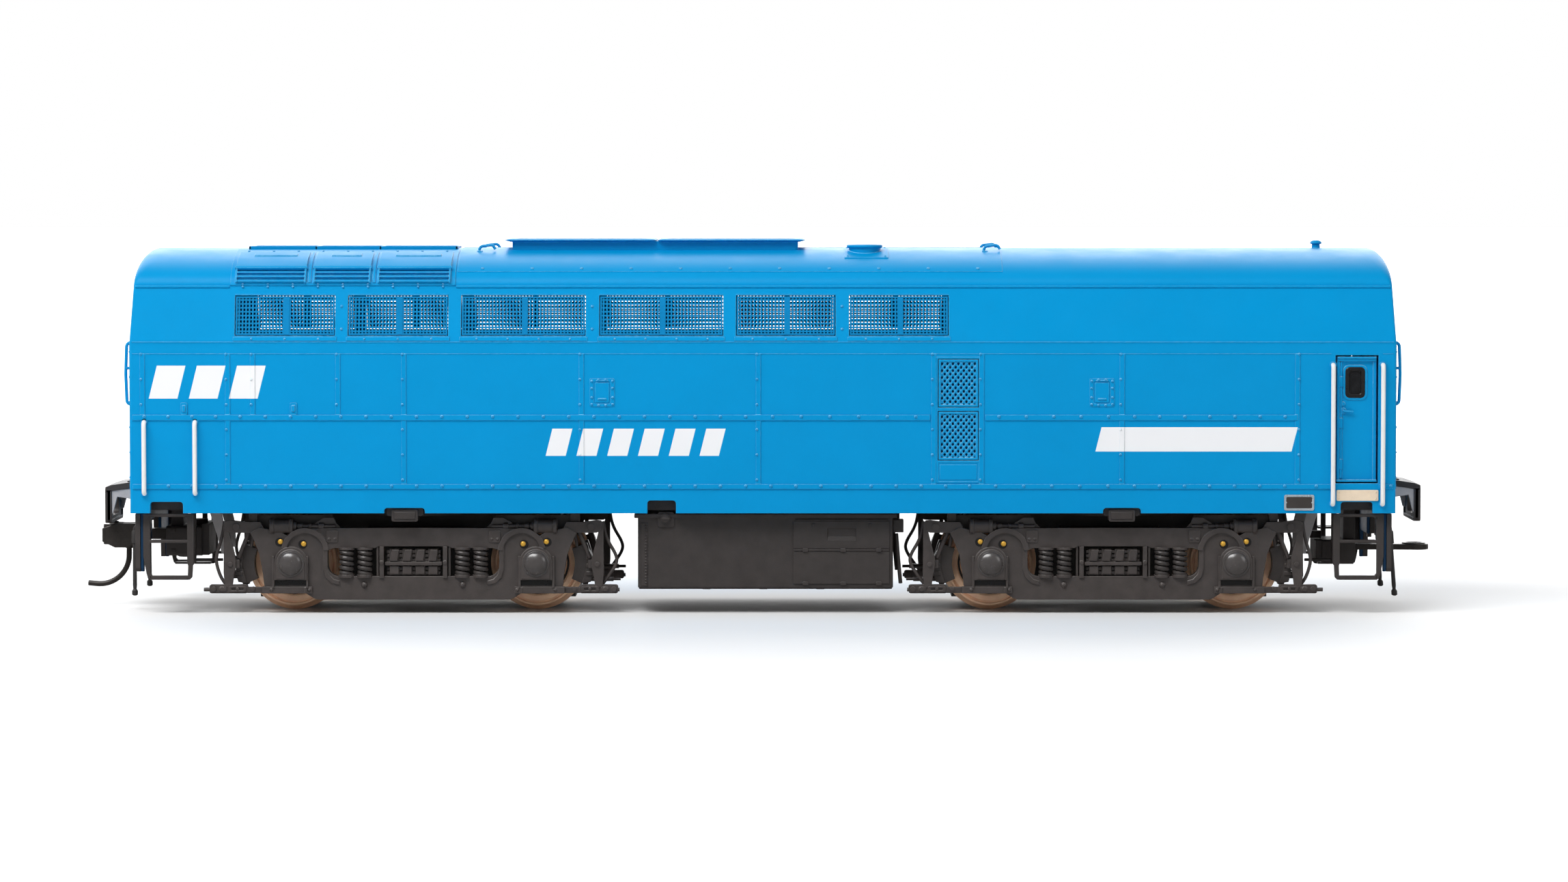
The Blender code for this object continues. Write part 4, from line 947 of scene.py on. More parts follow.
def make_handrails(side, sign):
    for where in ("end_outer", "end_inner", "door_inner", "door_outer"):
        node = f"handrail_{side}_{where}"
        low, high = span(node)
        x, radius = (low.x + high.x) / 2, 0.32
        out, foot = max(abs(low.y), abs(high.y)) - radius, HALF - 0.3
        bottom, top = low.z + radius, high.z - radius
        rail = Sketch().tube(soften(((x, foot, bottom), (x, out, bottom), (x, out, top), (x, foot, top)),
                                    0.55, 8),
                             radius, 14)
        place(rail, f"rail_{side}_{where}", "white", sign, replaces=(node,))
        feet = Sketch()
        for z in (bottom, top):
            feet.rod("Y", (x, z), 0.5, HALF - 0.1, HALF + 0.16)
        place(feet, f"rail_feet_{side}_{where}", "body", sign, bevel=0.04)


# ---- ends -------------------------------------------------------------------------------
def make_end_wall(name, end_x, out):
    """The gangway door, its window and the grab irons of one end."""
    wall, irons = Sketch(), Sketch()
    x = (end_x - out * 0.42, end_x - out * 0.2)
    door_y, door_z = (-3.9, 3.9), (SKIRT + 4.7, SHOULDER - 0.8)
    pane_y, pane_z = (-1.5, 1.5), (SKIRT + 15.6, SKIRT + 20.8)
    wall.plate([rounded(door_y, door_z, 0.3), rounded(pane_y, pane_z, 0.5)[::-1]], "X", *x)
    wall.plate([rounded(grown(pane_y, 0.4), grown(pane_z, 0.4), 0.7),
                rounded(grown(pane_y, 0.02), grown(pane_z, 0.02), 0.5)[::-1]],
               "X", x[0], end_x - out * 0.08)
    for low, high in ((5.2, 9.6), (10.1, 14.6)):
        wall.plate([rounded((-3.1, 3.1), (SKIRT + low, SKIRT + high), 0.3),
                    rounded((-2.75, 2.75), (SKIRT + low + 0.35, SKIRT + high - 0.35), 0.2)[::-1]],
                   "X", x[0], end_x - out * 0.12)
    wall.plate([rounded((-5.2, 5.2), (SKIRT + 3.6, SHOULDER - 0.15), 0.4),
                rounded((-4.25, 4.25), (SKIRT + 4.4, SHOULDER - 0.65), 0.3)[::-1]],
               "X", end_x - out * 0.2, end_x + out * 0.3)
    for y in (-9.2, 9.2, -16.6, 16.6):
        wall.box(between(end_x - out * 0.2, end_x + out * 0.08), (y - 0.3, y + 0.3),
                 (SKIRT + 4.1, SHOULDER - 0.2))
    wall.box(between(end_x - out * 0.2, end_x + out * 0.1), (-HALF + 0.5, HALF - 0.5),
             (LOWER_BELT[0], LOWER_BELT[1]))
    for y in (-16.6, -9.2, -5.0, 5.0, 9.2, 16.6):
        for step in range(6):
            proud = 0.3 if abs(y) < 6 else 0.08
            wall.dome((end_x + out * proud, y, SKIRT + 5.0 + step * 3.51), (out, 0, 0), 0.17, 0.12)
    wall.rod("X", (2.9, SKIRT + 12.3), 0.4, *between(x[0], end_x + out * 0.15))
    place(wall, f"end_wall_{name}", "body", bevel=0.04)
    glass = Sketch().prism(rounded(grown(pane_y, 0.1), grown(pane_z, 0.1), 0.5), "X", end_x - out * 0.39,
                           end_x - out * 0.3)
    place(glass, f"end_pane_{name}", "glass")
    for sign in (-1, 1):
        y, low, high = sign * 14.2, SKIRT + 15.0, SHOULDER - 0.1
        reach = end_x + out * 0.75
        irons.tube(soften(((end_x - out * 0.2, y, low), (reach, y, low + 0.25),
                           (reach + out * 0.15, y, (low + high) / 2), (reach, y, high - 0.25),
                           (end_x - out * 0.2, y, high)), 0.5), 0.23, 10)
        irons.tube(((end_x - out * 0.2, y, SKIRT + 20.2), (reach + out * 0.1, y, SKIRT + 20.2)), 0.2, 8)
    place(irons, f"grab_irons_{name}", "body")


def make_buffer(name, end_x, out):
    """The diaphragm plate, its sloping top and its paler side gussets."""
    node = f"buffer_{name}"
    low, high = span(node)
    tip = high.x if out > 0 else low.x
    half = high.y
    plate, gussets = Sketch(), Sketch()
    face_low, top = low.z, high.z - 0.9
    near = end_x + out * 0.05
    plate.plate([rounded((-half, half), (face_low, top), 0.5),
                 rounded((-3.4, 3.4), (face_low + 0.9, top - 1.3), 0.8)[::-1]],
                "X", tip, tip - out * 0.75)
    plate.plate([rounded((-half, half), (face_low, top), 0.5),
                 rounded((-half + 0.45, half - 0.45), (face_low + 0.45, top - 0.45), 0.4)[::-1]],
                "X", tip - out * 0.3, tip - out * 0.95)
    plate.prism([(tip - out * 0.15, top - 0.75), (near, top + 0.1), (near, top + 0.85),
                 (tip - out * 0.9, top + 0.28), (tip - out * 0.15, top)], "Y", -half, half)
    rib = [(near, top + 0.8), (near + out * 1.9, top + 0.35), (near + out * 1.9, top + 0.75),
           (near, top + 1.15)]
    for y in (-4.6, 4.2):
        plate.prism(rib, "Y", y, y + 0.5)
    for sign in (-1, 1):
        edge = between(sign * (half - 0.75), sign * (half - 0.15))
        outline = [(near, top - 0.1), (near, top - 3.2), (near + out * 0.9, top - 3.0),
                   (near + out * 1.2, top - 1.7), (tip - out * 1.7, top - 1.4),
                   (tip - out * 1.1, face_low + 1.4), (tip - out * 0.5, face_low + 1.2),
                   (tip - out * 0.5, top - 0.5)]
        gussets.prism(outline, "Y", *edge)
    place(plate, f"buffer_plate_{name}", "under", bevel=0.07, replaces=(node,))
    place(gussets, f"buffer_gussets_{name}", "cable", bevel=0.06)


STEP_TREADS, STEP_RAILS = (4.2, 9.35, 12.95), (9.3, 12.95)
PILOT_SHIFT = {"rear": 0.0, "front": 0.65}
HOSE_OUT = {"rear": 0.95, "front": 0.6}
HOSE_SLANT = {"rear": 0.0, "front": 0.07}


def make_pilot(name, out):
    """The cross plate, stirrup steps, hoses and pipes under one end."""
    node = f"pilot_{name}"
    low, high = span(node)
    end = (high.x if out > 0 else low.x) + PILOT_SHIFT[name]
    pilot, hoses, strips = Sketch(), Sketch(), Sketch()
    bottom, top = SKIRT - 8.3, SKIRT - 0.15
    half = high.y - 0.3

    def reach(first, second):
        return between(end - out * first, end - out * second)

    half_plate = [(5.6, SKIRT - 1.5), (5.6, 9.2), (half - 1.8, 9.2), (half - 1.3, bottom),
                  (half - 0.4, bottom), (half, bottom + 0.5), (half, top)]
    plate = half_plate + [(-y, z) for y, z in half_plate[::-1]]
    pilot.plate([plate], "X", *reach(0.0, 0.72))
    backing = Sketch().plate([[(y * 0.99, z) for y, z in plate]], "X", *reach(0.74, 1.15))
    far, near = 1.62, 7.75
    for sign in (-1, 1):
        y = sign * (high.y - 0.45)
        side_y = between(y - 0.35, y + 0.35)
        legs = ([(far - 0.5, top), (far + 0.5, top), (far + 0.5, 5.0), (far + 0.75, 4.75),
                 (far + 0.5, 4.15), (far + 0.15, 4.3), (far - 0.05, 5.0), (far - 0.5, 7.4)],
                [(near - 0.48, top), (near + 0.48, top), (near + 0.48, 6.4), (near + 0.3, 6.1),
                 (near + 0.2, 4.5), (near - 0.1, 4.15), (near - 0.6, 4.15), (near - 0.4, 4.75),
                 (near - 0.35, 6.1), (near - 0.48, 6.6)])
        for leg in legs:
            pilot.prism([(end - out * x, z) for x, z in leg], "Y", *side_y)
        pilot.box(reach(far + 0.4, near - 0.3), side_y, (4.13, 4.72))
        for level in STEP_RAILS:
            pilot.box(reach(far + 0.4, near - 0.4), side_y, (level, level + 0.42))
        tread = between(y, y - sign * 2.0)
        for level in STEP_TREADS:
            pilot.box(reach(far + 0.5, near - 0.4), tread, (level, level + 0.3))
        inner = between(sign * 6.9, sign * 7.9)
        pilot.box(reach(0.3, 0.9), inner, (8.6, 11.6))
        pilot.tube(((end - out * 7.6, sign * 7.4, 6.35), (end - out * 11.4, sign * 7.4, 6.35)), 0.22, 8)
        pilot.box(reach(6.9, 7.6), between(sign * 7.0, sign * 7.8), (6.0, SKIRT))
        blade = [(9.3, SKIRT), (11.0, SKIRT), (11.7, 10.6), (11.8, 7.2), (11.1, 7.2), (10.6, 9.4)]
        strips.prism([(end - out * x, z) for x, z in blade], "Y", *between(sign * 6.4, sign * 6.8))
        hose, ball_z, start = Sketch(), 1.75, 10.6
        here = (end + out * HOSE_OUT[name], sign * 8.8)
        hose.lathe([(ball_z - 0.4, 0.2), (ball_z - 0.25, 0.42), (ball_z + 0.3, 0.42), (ball_z + 0.55, 0.24),
                    (ball_z + 1.1, 0.3), (start - 1.9, 0.26), (start - 1.8, 0.42), (start - 0.2, 0.42),
                    (start, 0.3)],
                   "Z", here, 18)
        hose.move(lambda x, y, z: (x + HOSE_SLANT[name] * (start - z), y, z))
        hose.tube(soften(((*here, start - 0.4), (*here, start + 0.5),
                          (end - out * 1.0, here[1], start + 0.9)), 0.4, 4),
                  0.26, 10)
        hoses.absorb(hose)
    place(pilot, f"pilot_and_steps_{name}", "under", bevel=0.08, replaces=(node,))
    # The backing gets the dark blue, which is body blue painted in its shade.
    place(backing, f"pilot_backing_{name}", "shaded_blue", bevel=0.05)
    place(hoses, f"hoses_{name}", "hose")
    place(strips, f"cable_strips_{name}", "cable", bevel=0.1)


def make_couplers():
    low, high = span("coupler_box_rear")
    pivot = joint_place("coupler_swing")
    case = Sketch()
    start, back = -85.0, -78.9
    case.plate([rounded((low.y, high.y), (6.7, 10.9), 0.4), rounded((-3.8, 3.8), (8.3, 10.5), 0.3)[::-1]],
               "X", start, back - 1.0)
    case.box((back - 1.0, back), (low.y + 0.2, high.y - 0.2), (6.8, 11.2))
    case.box((pivot.x - 1.9, pivot.x - 0.2), (-3, 3), (10.7, 13.8))
    case.rod("Z", (pivot.x, 0), 1.0, 7.5, 10.8)
    case.lathe([(7.2, 1.6), (6.5, 1.6), (6.3, 1.2)], "Z", (pivot.x, 0))
    case.rod("Z", (back - 1.9, 0), 1.3, 10.8, 11.7)
    for z in (7.4, 10.3):
        case.box((start + 0.7, start + 1.3), (low.y - 0.15, high.y + 0.15), (z - 0.25, z + 0.25))
    place(case, "draft_box", "under", bevel=0.08, replaces=("coupler_box_rear",))

    low, high = span("coupler")
    z_mid, head_x = pivot.z, pivot.x - 9.2
    arm = Sketch()
    arm.plate([arc((pivot.x, 0), 2.2, -150, 150, 24) + [(pivot.x - 3.2, 1.25), (head_x + 2.0, 1.15),
                                                        (head_x + 1.4, 1.9),
              (head_x + 1.4, -1.9), (head_x + 2.0, -1.15), (pivot.x - 3.2, -1.25)],
               circle((pivot.x, 0), 1.3, 20)[::-1]],
              "Z", z_mid - 0.75, z_mid + 0.75)
    knuckle_x, knuckle_y = joint_place("knuckle_open").x, joint_place("knuckle_open").y
    head = [(head_x + 1.8, -2.2), (head_x + 1.2, -2.9), (head_x - 2.3, -2.9), (head_x - 2.5, -2.35),
            (head_x - 0.7, -1.75), (head_x, -1.5), (head_x, 2.75), (head_x + 1.0, 2.9), (head_x + 1.8, 2.2)]
    arm.prism(head, "Z", 8.2, 11.1)
    cheek = [(head_x - 2.6, 8.6), (head_x - 2.6, 10.5), (head_x - 0.6, 11.2), (head_x + 2.6, 11.2),
             (head_x + 2.6, 10.6), (head_x + 2.6, 8.6), (head_x + 1.0, 7.75), (head_x - 0.8, 7.75)]
    for y in ((-2.95, -2.3), (-0.5, 0.5)):
        arm.prism(cheek if y[0] < -2 else cheek[2:], "Y", *y)
    lobe = [(head_x + 0.3, 0.9), (head_x + 0.3, 2.9), *arc((knuckle_x - 0.1, knuckle_y), 0.9, 90, 250, 8),
            (head_x - 0.7, 0.9)]
    for ear in ((8.2, 8.75), (10.55, 11.1)):
        arm.prism(lobe, "Z", *ear)
    arm.rod("Z", (knuckle_x, knuckle_y), 0.4, 8.0, 11.25, 16)
    trip_x = head_x + 0.9
    arm.rod("Z", (trip_x, 0), 0.55, 7.5, 8.4, 14)
    curve = [(trip_x, 0, 8.6), (trip_x - 0.02, 0, 6.6)]
    curve += [(x, 0, z) for x, z in arc((trip_x - 4.2, 6.55), 4.18, 0, -92,
                                        14)][1:] + [(low.x + 0.05, 0, low.z + 0.45)]
    arm.tube(curve, 0.39, 12)
    place(arm, "coupler_head", "coupler", body="coupler", bevel=0.1, replaces=("coupler",))

    low, high = span("coupler_knuckle")
    knuckle = Sketch()
    hook = [(-92.1, 1.5), *arc((-93.0, 2.1), 0.9, 25, 130, 6), *arc((-93.4, 1.9), 0.95, 120, 175, 5),
            (-94.38, -0.6), *arc((-94.0, -0.85), 0.38, 170, 300, 5), (-93.4, -0.7), (-93.3, 0.2),
            (-93.2, 1.0), (-92.6, 1.2)]
    knuckle.plate([hook, circle((knuckle_x, knuckle_y), 0.6, 16)[::-1]], "Z", low.z, high.z)
    place(knuckle, "knuckle", "coupler", body="coupler_knuckle", bevel=0.1,
          replaces=("coupler_knuckle",))


def make_drawbar():
    low, high = span("drawbar_box_front")
    pivot = joint_place("drawbar_swing")
    case = Sketch()
    back, end = 78.6, 84.2
    case.plate([rounded((low.y, high.y), (5.7, 8.95), 0.35), rounded((-3.4, 3.4), (6.9, 8.5), 0.2)[::-1]],
               "X", back + 0.9, end)
    case.box((back, back + 0.9), (low.y + 0.15, high.y - 0.15), (5.8, 8.85))
    case.box((pivot.x + 1.6, pivot.x + 3.3), (-3, 3), (9.0, 13.8))
    case.rod("Z", (pivot.x, 0), 0.9, 6.5, 8.9)
    case.lathe([(6.1, 1.5), (5.75, 1.5), (5.6, 1.1)], "Z", (pivot.x, 0))
    case.rod("Z", (pivot.x - 2.2, 0), 1.0, 9.0, 10.0)
    place(case, "drawbar_box", "under", bevel=0.08, replaces=("drawbar_box_front",))

    low, high = span("drawbar")
    bar, eye_x, half = Sketch(), high.x - high.y, high.y
    waist = 1.35
    outline = arc((eye_x, 0), half, -120, 120, 20) + [(eye_x - 3.2, waist), (pivot.x + 3.2, waist)]
    outline += arc((pivot.x, 0), half, 60, 300, 20) + [(pivot.x + 3.2, -waist), (eye_x - 3.2, -waist)]
    bar.plate([outline, circle((eye_x - 0.2, 0), 1.15, 24)[::-1], circle((pivot.x, 0), 1.15, 24)[::-1]],
              "Z", low.z - 0.1, high.z + 0.1)
    bar.plate([circle((eye_x - 0.2, 0), 1.7, 24), circle((eye_x - 0.2, 0), 1.15, 24)[::-1]], "Z", high.z,
              high.z + 0.28)
    place(bar, "drawbar_eye", "coupler", body="drawbar", bevel=0.1, replaces=("drawbar",))


# ---- tank and underframe ----------------------------------------------------------------
def make_tank():
    low, high = span("fuel_tank")
    x, half, z = (low.x + 0.5, high.x - 0.6), high.y - 0.4, (low.z, high.z)
    tank = Sketch()
    tank.prism(rounded(x, (-half, half), 0.35), "Z", z[0] + 0.35, z[1] - 0.6)
    tank.prism(rounded(grown(x, -0.12), (-half + 0.12, half - 0.12), 0.3), "Z", z[0] + 0.15, z[0] + 0.5)
    tank.prism(rounded((low.x, high.x), (-half - 0.4, half + 0.4), 0.2), "Z", z[1] - 0.7, z[1] - 0.1)
    for place_x in (-8.0, 0.0, 8.0):
        tank.box((place_x - 0.6, place_x + 0.6), (-half + 1.5, half - 1.5), (z[0], z[0] + 0.3))
    details = Sketch()
    face = half
    rivet_x = (x[0] + 0.45, x[0] + 1.35)
    details.box(rivet_x, (face - 0.2, face + 0.12), (z[0] + 0.6, z[1] - 1.4))
    for level in bays(z[0] + 0.8, z[1] - 1.6, 0.42):
        details.dome((x[0] + 1.12, face + 0.12, level), (0, 1, 0), 0.15, 0.12, 6)
    door_x = (4.2, 17.7)
    details.prism(rounded(door_x, (z[0] + 0.9, z[0] + 5.5), 0.12, 2), "Y", face - 0.3, face + 0.2)
    details.plate([rounded(door_x, (z[0] + 5.85, z[0] + 9.7), 0.12, 2),
                   rounded((9.0, 13.0), (z[0] + 7.0, z[0] + 8.7), 0.1, 2)[::-1]],
                  "Y", face - 0.3, face + 0.2)
    details.prism([(face - 0.1, z[0] + 7.0), (face + 0.16, z[0] + 7.0), (face + 0.02, z[0] + 7.6),
                   (face - 0.1, z[0] + 7.6)], "X", 9.0, 13.0)
    details.box(grown(door_x, -0.05), (face, face + 0.33), (z[0] + 5.52, z[0] + 5.8))
    details.box(grown(door_x, -0.3), (face, face + 0.28), (z[0] + 9.75, z[0] + 9.95))
    for place_x in (5.9, 11.2, 16.2):
        for level in (z[0] + 5.65, z[0] + 0.95):
            details.prism(rounded((place_x - 0.42, place_x + 0.42), (level - 0.24, level + 0.24), 0.18),
                          "Y", face, face + 0.45)
    for place_x in (7.0, 15.0):
        top = z[0] + 9.35
        details.prism([(place_x - 0.25, top), (place_x + 0.25, top), (place_x, top - 0.55)], "Y", face,
                      face + 0.3)
    knob = (-13.7, z[1] - 0.75)
    details.rod("Y", knob, 0.72, face - 0.1, face + 0.75, 24)
    details.rod("Y", knob, 0.5, face + 0.7, face + 1.0, 24)
    details.box((knob[0] - 0.55, knob[0] + 0.55), (face + 0.85, face + 1.15),
                (knob[1] - 0.14, knob[1] + 0.14))
    details.prism(rounded((knob[0] - 1.1, knob[0] + 1.2), (knob[1] - 1.2, knob[1] + 0.9), 0.3), "Y",
                  face - 0.1, face + 0.3)
    for sign in (-1, 1):
        bracket = between(sign * (half - 1.0), sign * (half - 3.2))
        tank.box((x[1], x[1] + 1.5), bracket, (z[1] - 2.8, z[1] - 1.0))
        pipe_y = sign * (half - 2.1)
        tank.tube(soften(((x[1] + 0.5, pipe_y, z[1] - 3.0), (x[1] + 0.75, pipe_y, z[0] + 4.5),
                          (x[1] + 1.1, pipe_y, z[0] + 0.8)), 1.5),
                  0.3, 8)
    place(tank, "tank_box", "under", bevel=0.1, replaces=("fuel_tank",))
    for side, sign in SIDES:
        place(details.copy(), f"tank_details_{side}", "under", sign, bevel=0.03)
    details.mesh.free()


def make_frame_brackets():
    """Dark blocks that show in the skirt's notches over the trucks."""
    blocks = Sketch()
    for sign in (-1, 1):
        for centre_x in (-50.15, 50.15):
            y = between(sign * 14.6, sign * (HALF - 0.9))
            blocks.prism(rounded((centre_x - 2.6, centre_x + 2.6), (SKIRT - 0.45, SKIRT + 0.8), 0.4), "Y", *y)
            y = between(sign * 14.6, sign * (HALF - 0.35))
            blocks.prism(rounded((centre_x - 1.85, centre_x + 1.85), (SKIRT - 1.2, SKIRT + 0.55), 0.3), "Y",
                         *y)
            blocks.box((centre_x - 1.5, centre_x + 1.5), between(sign * (HALF - 0.4), sign * (HALF - 0.2)),
                       (SKIRT - 0.85, SKIRT + 0.2))
    place(blocks, "frame_brackets", "under", bevel=0.08)


# ---- trucks -----------------------------------------------------------------------------
BACK, FACE = 13.25, 14.85           # the cast side frame's two faces
JOURNAL_Z = 6.4                      # the centre of the journal boxes' domed caps
ARCH = (AXLE_REACH - 2.0, 8.0)


def frame_outline():
    """The cast side frame: straight lower beam, gooseneck arches and end legs."""
    half = [(0.0, 1.25), (12.6, 1.25), *arc((13.2, 3.05), 1.8, -90, -60, 3), (15.4, 2.35), (20.4, 2.35),
            (20.95, 3.2), (21.15, 5.0), (21.6, 7.6), (22.3, 9.4), (22.9, 10.6), (21.6, 11.4), (18.6, 10.75),
            *arc(ARCH, 3.3, 42, 100, 10), (13.2, 11.25), (12.0, 11.3), (0.0, 11.35)]
    return half[:-1] + [(-x, z) for x, z in half[::-1]][:-1]


def opening_outline():
    """The window between the beams, with rounded lower corners and arch-shaped sides."""
    right = [(10.6, 4.55), *arc((10.5, 6.05), 1.5, -90, -8, 5), (12.05, 7.6), (12.0, 8.2), (11.2, 8.5),
             (5.4, 8.5), (4.9, 8.75)]
    return right + [(-x, z) for x, z in right[::-1]]


class Truckside:
    """One side frame's solids, with helpers that draw the same thing at either end."""

    def __init__(self):
        self.cast, self.fine, self.springs, self.domes, self.gold, self.holes = (Sketch() for _ in range(6))

    def make_end(self, end, inner):
        """Arch, journal box, brake cylinder and rigging; inner ends face the fuel tank."""
        cast, fine, box_x = self.cast, self.fine, AXLE_REACH

        def out(points):
            return [(end * x, z) for x, z in points]

        def reach(first, second):
            return between(end * first, end * second)

        rim = arc(ARCH, 3.34, 8, 176, 20) + arc(ARCH, 2.62, 176, 8, 20)
        cast.prism(out(rim), "Y", FACE - 0.3, FACE + 0.42)
        leg = [(12.0, 8.4), (12.65, 8.4), (12.7, 5.6), (12.35, 4.4), (11.5, 3.6), (10.4, 3.35), (10.4, 3.9),
               (11.2, 4.1), (11.85, 4.8), (12.1, 5.8)]
        cast.prism(out(leg), "Y", FACE - 0.3, FACE + 0.22)
        for half, z_low, z_top, depth in ((2.3, 4.05, JOURNAL_Z, 0.65), (1.95, 4.2, JOURNAL_Z, 0.85)):
            lid = [(box_x - half, z_low), (box_x + half, z_low), *arc((box_x, z_top), half, 0, 180, 14)]
            cast.prism(out(lid), "Y", BACK, FACE + depth)
        # A near-black strip on the casting stands in for the shaded slot under the journal box: painted
        # shade.
        self.holes.box((end * box_x - 2.2, end * box_x + 2.2), (FACE - 0.3, FACE + 0.06), (3.3, 3.95))
        for px in (box_x - 2.45, box_x + 2.3):
            fine.box(reach(px, px + 0.3), (BACK, FACE + 0.5), (2.9, 7.4))
        fine.box(reach(14.2, 21.2), (FACE - 0.6, FACE + 0.34), (2.15, 3.1))
        fine.box(reach(14.9, 15.3), (FACE, FACE + 0.5), (2.2, 3.0))
        for px in (14.6, 19.9):
            fine.dome((end * px, FACE + 0.34, 2.65), (0, 1, 0), 0.26, 0.2, 8)
        ball = [(FACE + 0.7, 1.9), (FACE + 0.95, 1.9), (FACE + 0.98, 1.68)]
        ball += [(FACE + 0.95 + 0.75 * math.sin(math.radians(turn)),
                  1.66 * math.cos(math.radians(turn))) for turn in range(8, 88, 10)]
        self.domes.lathe(ball, "Y", (end * box_x, JOURNAL_Z), 32)
        for px, pz in ((18.65, 9.4), (15.4, 9.1)):
            self.gold.dome((end * px, FACE, pz), (0, 1, 0), 0.4, 0.3, 12)
            # A near-black disc around each contact stands in for a shaded hole: painted shade.
            self.holes.rod("Y", (end * (px + 0.12), pz - 0.05), 0.62, FACE - 0.3, FACE + 0.05, 18)

        fine.prism(out(rounded((10.6, 12.2), (9.3, 11.0), 0.15, 2)), "Y", FACE - 0.2, FACE + 0.18)
        for px in (11.0, 11.8):
            fine.dome((end * px, FACE + 0.18, 9.75), (0, 1, 0), 0.22, 0.18, 6)
        fine.dome((end * 6.9, FACE, 3.35), (0, 1, 0), 0.45, 0.32, 12)
        fine.rod("Y", (end * 6.9, 3.35), 0.2, FACE, FACE + 0.5, 6)

        cylinder = (14.4, 11.55)
        rings = [(16.4, 0.3), (16.45, 0.6), (16.85, 0.62), (16.9, 1.05), (17.0, 1.15), (17.35, 1.15),
                 (17.45, 0.98), (19.5, 0.98), (19.6, 1.15), (20.1, 1.15), (20.25, 0.8)]
        fine.lathe([(end * along, radius) for along, radius in rings], "X", cylinder, 24)
        fine.rod("X", cylinder, 0.3, *reach(11.0, 17.0), 12)
        cast.box(reach(11.5, 22.4), (BACK - 1.6, BACK - 0.8), (10.6, 13.0))
        for low, high, radius in ((12.6, 13.3, 0.5), (15.6, 16.2, 0.46), (14.4, 14.7, 0.42)):
            fine.rod("X", cylinder, radius, *reach(low, high), 16)
        fine.prism(out([(10.2, 11.3), (14.1, 11.3), (13.8, 12.0), (12.6, 12.75), (11.2, 12.75),
                        (10.9, 12.0)]), "Y", BACK + 0.3, BACK + 1.0)
        cast.box(reach(22.0, 23.2), (BACK - 1.2, BACK + 0.4), (11.6, 13.3))
        arm = [(20.6, 10.6), (25.7, 10.65), (26.4, 11.0), (26.6, 11.9), (26.3, 12.35), (25.6, 12.4),
               (23.8, 12.15), (21.5, 12.15)]
        cast.prism(out(arm), "Y", BACK + 0.45, FACE - 0.25)
        fine.rod("Y", (end * 24.9, 11.45), 0.5, FACE - 0.3, FACE - 0.02, 14)

        bulge = 28.5 if inner else 27.8
        hanger = [(26.05, 12.3), (25.9, 10.6), (25.3, 8.2), (25.0, 7.0), (25.0, 5.9), (25.3, 4.4),
                  (25.5, 2.9), (26.5, 2.9), (26.7, 5.0), (26.65, 8.6), (26.7, 12.1)]
        cast.prism(out(hanger), "Y", BACK + 0.55, FACE - 0.35)
        fine.rod("Y", (end * 25.75, 6.2), 0.36, FACE - 0.4, FACE - 0.12, 12)
        path = [(26.6, 12.2), (27.0, 9.8), (bulge, 7.4), (bulge, 6.2), (27.2, 4.3), (26.3, 3.1)]
        fine.tube(soften([(end * px, BACK + 0.35, pz) for px, pz in path], 1.3, 5), 0.24, 10)
        fine.tube([(end * 23.2, BACK + 0.2, 10.7), (end * 24.7, BACK + 0.1, 7.0)], 0.3, 8)
        fine.tube([(end * 22.6, BACK - 0.1, 10.7), (end * 22.9, BACK - 0.4, 8.6)], 0.22, 8)

        rod_y = BACK + 0.85
        block = out(rounded((23.3, 28.7), (2.1, 3.35), 0.32))
        cast.prism(block, "Y", rod_y - 0.5, rod_y + 0.35)
        fine.plate([out(rounded((23.5, 26.0), (2.3, 3.15), 0.3))[::end],
                    out(rounded((23.9, 25.6), (2.55, 2.9), 0.15))[::-end]],
                   "Y", rod_y, rod_y + 0.55)
        for px, radius in ((28.1, 0.38), (26.9, 0.34), (24.75, 0.22), (22.6, 0.3)):
            fine.rod("Y", (end * px, 2.72), radius, rod_y - 0.6, rod_y + 0.6, 12)
        fine.prism(out(rounded((26.3, 27.4), (2.35, 3.1), 0.3)), "Y", rod_y, rod_y + 0.5)
        cast.box(reach(20.6, 23.4), (rod_y - 0.35, rod_y + 0.3), (2.15, 3.0))
        fine.rod("X", (rod_y, 2.62), 0.27, *reach(28.6, 28.9 if inner else 29.5), 12)
        if inner:
            fine.rod("X", (BACK - 0.9, 4.0), 0.34, *reach(24.5, 28.0), 12)
            fine.rod("X", (BACK - 0.9, 4.0), 0.22, *reach(27.9, 29.0), 12)

        centre = (box_x, AXLE.z + 0.1)
        fine.prism(out(arc(centre, 7.05, -26, 24, 10) + arc(centre, 7.75, 24, -26, 10)), "Y", 8.4, 9.9)
        fine.prism(out(arc(centre, 5.35, -24, 22, 10) + arc(centre, 7.6, 22, -24, 10)), "Y", 10.4, 12.4)
        head = [(23.9, 9.0), (24.6, 8.0), (25.15, 6.9), (25.15, 4.7), (24.8, 3.6), (23.6, 3.4), (24.3, 6.0)]
        fine.prism(out(head), "Y", 9.2, 12.9)
        for level in (7.0, 5.9, 4.8):
            fine.box(reach(24.2, 25.3), (11.8, 13.1), (level - 0.25, level + 0.25))
        fine.box(reach(24.5, 25.6), (12.2, BACK + 0.8), (5.6, 6.8))

        for px in (6.85, 9.4):
            self.springs.coil((end * px, FACE - 0.4), 0.78, 0.31, 4.75, 8.4, 5)
            self.springs.rod("Z", (end * px, FACE - 0.4), 0.42, 4.5, 8.6, 10)
            fine.rod("Z", (end * px, FACE - 0.4), 1.12, 4.35, 4.78, 18)
            fine.rod("Z", (end * px, FACE - 0.4), 1.12, 8.25, 8.6, 18)
        fine.box(reach(4.15, 4.75), (BACK, FACE + 0.3), (4.3, 8.75))
        fine.box(reach(4.9, 5.2), (BACK, FACE - 0.2), (4.3, 8.75))
        fine.rod("Y", (end * 4.45, 6.5), 0.28, FACE, FACE + 0.48, 10)

